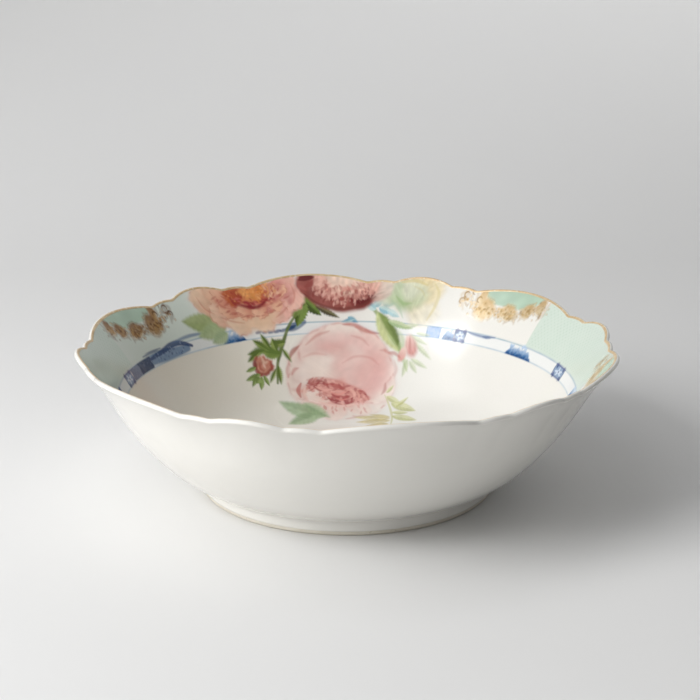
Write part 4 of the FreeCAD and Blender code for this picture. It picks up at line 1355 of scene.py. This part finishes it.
def lip(azimuth, angle, cover):
    """A point on the rounding of the lip, cover above the clay; angle runs from inside to outside."""
    reach = edge_reach(azimuth)
    radius = LIP_THICKNESS / 2 + cover
    inner = np.stack(section(reach, -LIP_THICKNESS / 2), -1)
    normal = np.stack(section(reach, 1 - LIP_THICKNESS / 2), -1) - inner
    tangent = np.stack([normal[..., 1], -normal[..., 0]], -1)
    place = inner + radius * (math.sin(angle) * tangent + math.cos(angle) * normal)
    return in_space(azimuth, place[..., 0], place[..., 1])


def inside_rows(azimuth, low, count, cover):
    """Rows over the inside from a reach of low out to the lip, following the lobes near the rim."""
    top = RIM_NOMINAL - LIP_THICKNESS / 2
    reaches = []
    for nominal in np.linspace(low, top, count):
        inset = smooth(RIM_BLEND_START, top, nominal) * LIP_THICKNESS / 2
        reaches.append(follow_rim(azimuth, nominal + inset) - inset)
    return [on_inside(azimuth, reach, cover) for reach in reaches], reaches


def outside_rows(azimuth, count, cover):
    """Rows down the outside from the lip to the top of the foot's fillet."""
    start = edge_reach(azimuth)
    rows = []
    for share in np.linspace(0, 1, count + 1)[1:]:
        reach = start + (FOOT_REACH - start) * share
        level = -thickness(reach, azimuth) - cover
        rows.append(on_inside(azimuth, reach, level))
    return rows


# The fillet starts on the wall's outside and ends on the ring's outer side.
HEEL_REACHES = np.linspace(50, 90, 401)
FOOT_REACH = float(np.interp(FOOT_OUTER_RADIUS + FOOT_FILLET * 0.62,
                             section(HEEL_REACHES, -WALL_THICKNESS)[0], HEEL_REACHES))
WALL_FOOT_RADIUS, WALL_FOOT_HEIGHT = (float(v) for v in section(FOOT_REACH, -WALL_THICKNESS))
FILLET_FOOT_HEIGHT = FOOT_FILLET + 1.6
RECESS_HEIGHT = FLOOR_HEIGHT - WALL_THICKNESS


def foot_rows(azimuth, cover, down_to):
    """Rows round the concave fillet and down the outer side of the foot ring."""
    radius = FOOT_OUTER_RADIUS + cover
    start_height = WALL_FOOT_HEIGHT - cover
    rows = []
    for turn in np.linspace(0, math.pi / 2, 9)[1:]:
        rows.append(in_space(
            azimuth, WALL_FOOT_RADIUS + (radius - WALL_FOOT_RADIUS) * math.sin(turn),
            start_height + (FILLET_FOOT_HEIGHT - start_height) * (1 - math.cos(turn))))
    for height in np.linspace(FILLET_FOOT_HEIGHT, down_to, 7)[1:]:
        rows.append(in_space(azimuth, radius, height))
    return rows


def underside_rows(azimuth):
    """Rows from the standing face round the recess to the centre of the base."""
    rows = []
    for turn in np.linspace(0, math.pi / 2, 6):
        rows.append(in_space(azimuth, FOOT_OUTER_RADIUS - FOOT_EDGE * (1 - math.cos(turn)),
                             FOOT_EDGE * (1 - math.sin(turn))))
    for turn in np.linspace(math.pi / 2, 0, 6):
        rows.append(in_space(azimuth, FOOT_INNER_RADIUS + FOOT_EDGE * (1 - math.cos(turn)),
                             FOOT_EDGE * (1 - math.sin(turn))))
    for height in np.linspace(FOOT_EDGE, RECESS_HEIGHT - RECESS_FILLET, 4)[1:]:
        rows.append(in_space(azimuth, FOOT_INNER_RADIUS, height))
    for turn in np.linspace(0, math.pi / 2, 5)[1:]:
        rows.append(in_space(azimuth, FOOT_INNER_RADIUS - RECESS_FILLET * (1 - math.cos(turn)),
                             RECESS_HEIGHT - RECESS_FILLET * (1 - math.sin(turn))))
    for radius in np.linspace(FOOT_INNER_RADIUS - RECESS_FILLET, POLE_RADIUS, 24)[1:]:
        rows.append(in_space(azimuth, radius, RECESS_HEIGHT))
    return rows


def build_body(clay):
    """The fired clay: inside, lip, outside, foot ring and recess in one closed surface."""
    azimuth = round_about(720)
    rows, _ = inside_rows(azimuth, POLE_RADIUS, 70, 0.0)
    rows += [lip(azimuth, angle, 0.0) for angle in np.linspace(0, math.pi, 13)[1:]]
    rows += outside_rows(azimuth, 60, 0.0)
    rows += foot_rows(azimuth, 0.0, FOOT_EDGE)
    rows += underside_rows(azimuth)[1:]
    made = turned_solid("fired_body", np.array(rows)[::-1])
    return take(made, "porcelain_body", clay)


def build_interior_glaze(glaze):
    """The glaze over the inside, out to the middle of the lip, with the painting on it."""
    azimuth = round_about(1200)
    top, reaches = inside_rows(azimuth, POLE_RADIUS, 240, GLAZE)
    angles = np.linspace(0, math.pi / 2, 9)[1:]
    top += [lip(azimuth, angle, GLAZE) for angle in angles]
    reaches += [rim_reach(azimuth)] * len(angles)
    under = [lip(azimuth, angle, 0.0) for angle in angles[::-2]]
    back, _ = inside_rows(azimuth, POLE_RADIUS, 40, 0.0)
    rows = np.array(top + under + back[::-1])[::-1]
    made = turned_solid("interior_glaze_coat", rows, [len(under) + len(back) - 1])
    paint_rows(made, azimuth, reaches, len(under) + len(back))
    return take(made, "interior_glaze", glaze)


def build_exterior_glaze(glaze):
    """The glaze from the middle of the lip down to the glaze line on the foot ring."""
    azimuth = round_about(960)
    skin = [lip(azimuth, angle, GLAZE) for angle in np.linspace(math.pi / 2, math.pi, 9)]
    skin += outside_rows(azimuth, 110, GLAZE)
    skin += foot_rows(azimuth, GLAZE, GLAZE_LINE)
    under = foot_rows(azimuth, 0.0, GLAZE_LINE)[::-1]
    under += outside_rows(azimuth, 40, 0.0)[::-1]
    under += [lip(azimuth, angle, 0.0) for angle in np.linspace(math.pi, math.pi / 2, 5)]
    rows = np.array(skin + under)[::-1]
    made = ring_solid("exterior_glaze_coat", rows, [len(under) - 1, len(rows) - 1])
    return take(made, "exterior_glaze", glaze)


def build_base_glaze(glaze):
    """The glazed disc inside the foot ring."""
    azimuth = round_about(240)
    radii = list(np.linspace(POLE_RADIUS, FOOT_INNER_RADIUS - 1.4, 40))
    upper = [in_space(azimuth, radius, RECESS_HEIGHT) for radius in radii]
    lower = [in_space(azimuth, radius, RECESS_HEIGHT - GLAZE) for radius in radii[::-1]]
    made = turned_solid("base_glaze_coat", np.array(upper + lower)[::-1])
    return take(made, "base_glaze", glaze)


def build_gilding(gold):
    """The gold line over the lip, of slightly uneven width on the inside."""
    azimuth = round_about(1440)
    depth = GILDING_WIDTH * (0.75 + 0.5 * noise(azimuth * 1.1, azimuth * 0, 4, 41))

    def down(share, level):
        return on_inside(azimuth, edge_reach(azimuth) - depth * share, level)

    skin = [down(1, GOLD_LINE_EDGE)] + [down(share, GOLD_LINE_LEVEL) for share in (0.8, 0.5, 0.25)]
    skin += [lip(azimuth, angle, GOLD_LINE_LEVEL) for angle in np.linspace(0, GILDING_END * 0.9, 8)]
    skin += [lip(azimuth, GILDING_END, GOLD_LINE_EDGE)]
    under = [lip(azimuth, angle, GOLD_LINE_BACK) for angle in np.linspace(GILDING_END, 0, 4)]
    under += [down(share, GOLD_LINE_BACK) for share in (0.5, 1)]
    rows = np.array(skin + under)[::-1]
    made = ring_solid("rim_gold_line", rows, [len(under) - 1, len(rows) - 1])
    return take(made, "rim_gilding", gold)


def build_band(enamel):
    """The blue printed band, one ring right round the inside."""
    azimuth = round_about(2160)
    lines = np.linspace(BAND_INNER - 0.8, BAND_OUTER + 0.9, 29)
    rise = np.minimum(smooth(0, SHEET_TAPER, lines - lines[0]),
                      smooth(0, SHEET_TAPER, lines[-1] - lines))
    levels = SHEET_EDGE + (BAND_LEVEL - SHEET_EDGE) * rise
    reaches = [line + 0 * azimuth for line in lines]
    skin = [on_inside(azimuth, reach, level) for reach, level in zip(reaches, levels)]
    under = [on_inside(azimuth, reach, SHEET_BACK) for reach in reaches[::-7]]
    rows = np.array(skin + under)[::-1]
    made = ring_solid("border_band", rows, [len(under) - 1, len(rows) - 1])
    paint_rows(made, azimuth, reaches, len(under))
    return take(made, "blue_border_band", enamel)


def polar_sheet(name, azimuths, low, high, level, spacing, lattice_centre=None):
    """A painted patch between two azimuths. low and high are functions of azimuth giving reach."""
    middle = section((low(np.mean(azimuths)) + high(np.mean(azimuths))) / 2)[0]
    columns = int(math.radians(azimuths[1] - azimuths[0]) * float(middle) / spacing) + 2
    azimuth = np.linspace(azimuths[0], azimuths[1], columns)
    depth = high(azimuth) - low(azimuth)
    rows = int(float(np.max(depth)) / spacing) + 2
    reach = low(azimuth) + depth * np.linspace(0, 1, rows)[:, None]
    azimuth = np.broadcast_to(azimuth, reach.shape)
    return painted_sheet(name, azimuth, reach, level, spacing, lattice_centre)


def oval_sheet(name, centre, size, turn, level, spacing):
    """A painted oval patch. The centre, half sizes and turn are on the unrolled inside."""
    rows = int(2 * size[1] / spacing) + 2
    columns = int(2 * size[0] / spacing) + 2
    y, x = np.meshgrid(np.linspace(-1, 1, rows), np.linspace(-1, 1, columns), indexing="ij")
    along = size[0] * x * np.sqrt(1 - 0.44 * y ** 2)
    across = size[1] * y * np.sqrt(1 - 0.44 * x ** 2)
    c, s = math.cos(math.radians(turn)), math.sin(math.radians(turn))
    u = centre[0] + along * c - across * s
    v = centre[1] + along * s + across * c
    return painted_sheet(name, np.degrees(np.arctan2(u, -v)), np.hypot(u, v), level, spacing)


def painted_sheet(name, azimuth, reach, level, spacing, lattice_centre=None):
    """A thin painted sheet over a grid of places, raised to level except along its edges."""
    painting = Painting(azimuth, reach)
    paint_everything(painting)
    raised = level + GILT_RELIEF * painting.gilt.reshape(reach.shape)
    row, column = np.indices(reach.shape)
    steps = np.minimum(np.minimum(row, reach.shape[0] - 1 - row),
                       np.minimum(column, reach.shape[1] - 1 - column))
    rise = smooth(0, SHEET_TAPER, steps * spacing)
    front = on_inside(azimuth, reach, SHEET_EDGE + (raised - SHEET_EDGE) * rise)
    made = sheet_solid(name, front, on_inside(azimuth, reach, SHEET_BACK))
    store_paint(made, painting)
    if lattice_centre is not None:
        store_lattice_place(made, painting, lattice_centre)
    return made


def store_lattice_place(made, painting, centre):
    """Where each point lies on the lattice: along it and up it in mm, and 1 inside its panel."""
    gap = offset_from(painting, centre)
    inside = smooth(PANEL_HALF + 0.2, PANEL_HALF - 0.6, np.abs(gap))
    inside = inside * smooth(BAND_OUTER, BAND_OUTER + 0.8, painting.reach)
    place = np.zeros((len(made.data.vertices), 3), np.float32)
    place[:len(gap)] = np.stack([np.radians(gap) * LATTICE_REACH, painting.reach, inside], 1)
    layer = made.data.attributes.new("place", "FLOAT_VECTOR", "POINT")
    layer.data.foreach_set("vector", place.ravel())


def below_gilding(azimuth):
    """The upper edge of a patch that runs up to the gold line."""
    return edge_reach(azimuth) - 0.1


def bowl_shaped(azimuths, lowest, corner):
    """The lower edge of a patch: lowest in its middle and higher by corner at its ends."""
    middle, half = (azimuths[0] + azimuths[1]) / 2, (azimuths[1] - azimuths[0]) / 2

    def low(azimuth):
        share = np.abs(np.asarray(azimuth, float) - middle) / half
        return lowest + corner * share ** 3

    return low


def build_border(enamel, lattice_enamel):
    """The lattice panels, and over them the scrolls with their mint reserves."""
    for name, offset in PANEL_OFFSETS.items():
        centre = BOUQUET_AXIS + offset
        span = (centre - PANEL_HALF, centre + PANEL_HALF)
        made = polar_sheet(f"lattice_{name}", span, bowl_shaped(span, BAND_OUTER + 0.3, 0),
                           below_gilding, GLAZE + 0.012, 0.5, lattice_centre=centre)
        take(made, f"lattice_panel_{name}", lattice_enamel)
    for name, offset in SCROLL_OFFSETS.items():
        centre = BOUQUET_AXIS + offset
        span = (centre - SCROLL_HALF, centre + SCROLL_HALF)
        made = polar_sheet(f"scroll_{name}", span, bowl_shaped(span, SCROLL_LOWEST, 4.5),
                           below_gilding, GLAZE + 0.024, 0.3)
        take(made, f"gilt_scroll_{name}", enamel)
        side = scroll_side(offset)
        span = sorted((centre - side * RESERVE_OUTWARD, centre + side * RESERVE_INWARD))
        made = polar_sheet(f"reserve_{name}", span, bowl_shaped(span, RESERVE_LOWEST, 4.4),
                           below_gilding, GLAZE + 0.03, 0.35)
        take(made, f"mint_reserve_{name}", enamel)


def build_bouquet(enamel):
    """The transfers of the bouquet, each a sheet of its own."""
    # Each rose cut off by the rim: span in azimuth, lowest reach, rise at its corners, level, spacing.
    rim_roses = [
        ("peach_rose", (192.6, 223.6), 115.5, 9, 0.045, 0.36),
        ("ruffled_rose", (166.0, 194.5), 122.0, 10, 0.05, 0.34),
        ("pale_rose", (154.0, 169.5), 115.0, 6, 0.035, 0.38)]
    for name, span, lowest, corner, level, spacing in rim_roses:
        made = polar_sheet(name, span, bowl_shaped(span, lowest, corner), below_gilding,
                           GLAZE + level, spacing)
        take(made, f"{name}_transfer", enamel)
    # Each oval sheet: centre, half sizes and turn on the unrolled inside, level, spacing, finish.
    ovals = [
        ("main_rose", (-3, 88), (33, 35), 0, 0.07, 0.36, "flower_print"),
        ("left_bud_spray", (-45, 93), (25, 15), 112, 0.06, 0.34, "flower_print"),
        ("right_bud_spray", (35, 101), (16, 12), 80, 0.04, 0.30, "flower_print"),
        ("long_leaf", (20.5, 115.5), (19, 8), 116, 0.055, 0.30, "foliage_print"),
        ("fallen_leaf", (-86, 95), (17, 13), 40, 0.038, 0.36, "foliage_print"),
        ("stem_leaf", (-27, 121), (13, 12), 60, 0.042, 0.32, "foliage_print"),
        ("front_leaf_pair", (-22, 62), (16, 12), 20, 0.08, 0.32, "foliage_print"),
        ("front_sprig", (19, 64), (19, 15), 30, 0.075, 0.32, "foliage_print"),
    ]
    for name, centre, size, turn, level, spacing, slot in ovals:
        made = oval_sheet(name, centre, size, turn, GLAZE + level, spacing)
        take(made, f"{name}_transfer", enamel)


def build_bowl():
    enamel = make_enamel("flower_enamel")
    build_body(make_clay("bare_porcelain"))
    build_interior_glaze(make_enamel("painted_glaze", roughness=0.17))
    white = make_glaze("clear_glaze", GLAZE_WHITE)
    build_exterior_glaze(white)
    build_base_glaze(make_glaze("base_glaze", (228, 225, 216), 0.16))
    build_gilding(make_gold("rim_gold"))
    build_band(make_enamel("cobalt_enamel"))
    build_border(enamel, make_enamel("lattice_enamel", lattice=True))
    build_bouquet(enamel)


# ---------------------------------------------------------------- the studio

SWEEP_START = 0.41
SWEEP_RADIUS = 0.55
# Softboxes: azimuth round the bowl (0 in front, 90 at the right), elevation, distance, size, watts.
LIGHTS = [
    ("key", 300, 35, 1.3, 0.7, 13.5),
    ("low_key", 300, 15, 1.3, 0.7, 2.1),
    ("low_fill", 330, 15, 1.5, 0.7, 1.5),
    ("front_fill", 0, 20, 1.5, 0.7, 0.6),
    ("high_fill", 270, 65, 1.3, 0.8, 2.6),
    ("side_fill", 285, 45, 2.2, 1.2, 2.0),
    ("right_fill", 120, 40, 2.2, 1.2, 0.95),
    ("back_fill", 180, 60, 2.2, 1.2, 4.4),
]
LIGHT_AIM = Vector((0, 0, 0.03))
WORLD_STRENGTH = 0.142
# The camera: place in metres, tilt up from straight down in degrees, focal length in mm.
CAMERA_PLACE = (0.001085, -0.71505, 0.27448)
CAMERA_TILT = 73.4997
CAMERA_LENS = 84.835
CAMERA_SENSOR = 36


def build_sweep():
    """A pale floor that rises into a backdrop behind the bowl, with painted shade on the left of the
    backdrop and painted light towards its right.
    """
    profile = [(-3.0, 0.0)]
    profile += [(y, 0.0) for y in np.linspace(-2.6, SWEEP_START, 24)]
    for turn in np.linspace(0, math.pi / 2, 25)[1:]:
        profile.append((SWEEP_START + SWEEP_RADIUS * math.sin(turn),
                        SWEEP_RADIUS * (1 - math.cos(turn))))
    profile += [(SWEEP_START + SWEEP_RADIUS, z) for z in np.linspace(SWEEP_RADIUS, 2.6, 12)[1:]]
    across = np.linspace(-3.0, 3.0, 49)
    points = np.array([[(x, y, z) for x in across] for y, z in profile])
    made = mesh_object("studio_sweep", points.reshape(-1, 3) / MM,
                       grid_faces(len(profile), len(across), False))
    graph = Graph("sweep_paper")
    colour = graph.blend(graph.ramp(graph.grain(3, 3), 0.0, 1.0), scaled((227, 227, 227)),
                         scaled((231, 231, 230)))
    place = graph.node("SeparateXYZ")
    graph.link(graph.node("TexCoord").outputs["Object"], place.inputs["Vector"])
    # Painted light and shade on the backdrop: its colour is made darker on the left and lighter on the
    # right, growing with height; the flat floor is left as it is.
    rightward = graph.math("ADD", graph.math("MULTIPLY", place.outputs["X"], 1.1), 0.5)
    side = graph.ramp(rightward, 0.61, 1.62)
    climb = graph.ramp(graph.math("MULTIPLY", place.outputs["Z"], 4.0), 0.0, 1.0)
    painted_light_ramp = graph.node("CombineColor")
    for socket in painted_light_ramp.inputs:
        change = graph.math("MULTIPLY", climb, graph.math("SUBTRACT", side, 1.0))
        graph.link(graph.math("ADD", 1.0, change), socket)
    colour = graph.blend(1.0, colour, painted_light_ramp.outputs["Color"], "MULTIPLY")
    graph.set(Base_Color=colour, Roughness=graph.ramp(graph.grain(300, 4), 0.55, 0.7),
              Normal=graph.bump(graph.grain(1800, 4), 0.00004, 0.5))
    made.data.materials.append(graph.material)


def add_softbox(name, azimuth, elevation, distance, size, power):
    """A square light that faces the bowl."""
    data = bpy.data.lights.new(name, "AREA")
    data.shape = "SQUARE"
    data.size = size
    data.energy = power
    made = bpy.data.objects.new(name, data)
    bpy.context.scene.collection.objects.link(made)
    turn, climb = math.radians(azimuth), math.radians(elevation)
    made.location = distance * Vector((math.cos(climb) * math.sin(turn),
                                       -math.cos(climb) * math.cos(turn), math.sin(climb)))
    made.rotation_euler = (LIGHT_AIM - made.location).to_track_quat("-Z", "Y").to_euler()


def build_studio():
    build_sweep()
    for light in LIGHTS:
        add_softbox(*light)
    world = bpy.data.worlds.new("studio")
    world.use_nodes = True
    world.node_tree.nodes["Background"].inputs["Color"].default_value = (1, 1, 1, 1)
    world.node_tree.nodes["Background"].inputs["Strength"].default_value = WORLD_STRENGTH
    bpy.context.scene.world = world
    bpy.context.scene.view_settings.view_transform = "Standard"
    data = bpy.data.cameras.new("camera")
    data.lens = CAMERA_LENS
    data.sensor_width = CAMERA_SENSOR
    camera = bpy.data.objects.new("camera", data)
    bpy.context.scene.collection.objects.link(camera)
    camera.location = CAMERA_PLACE
    camera.rotation_euler = (math.radians(CAMERA_TILT), 0, 0)
    bpy.context.scene.camera = camera


build_bowl()
build_studio()
bpy.context.view_layer.update()
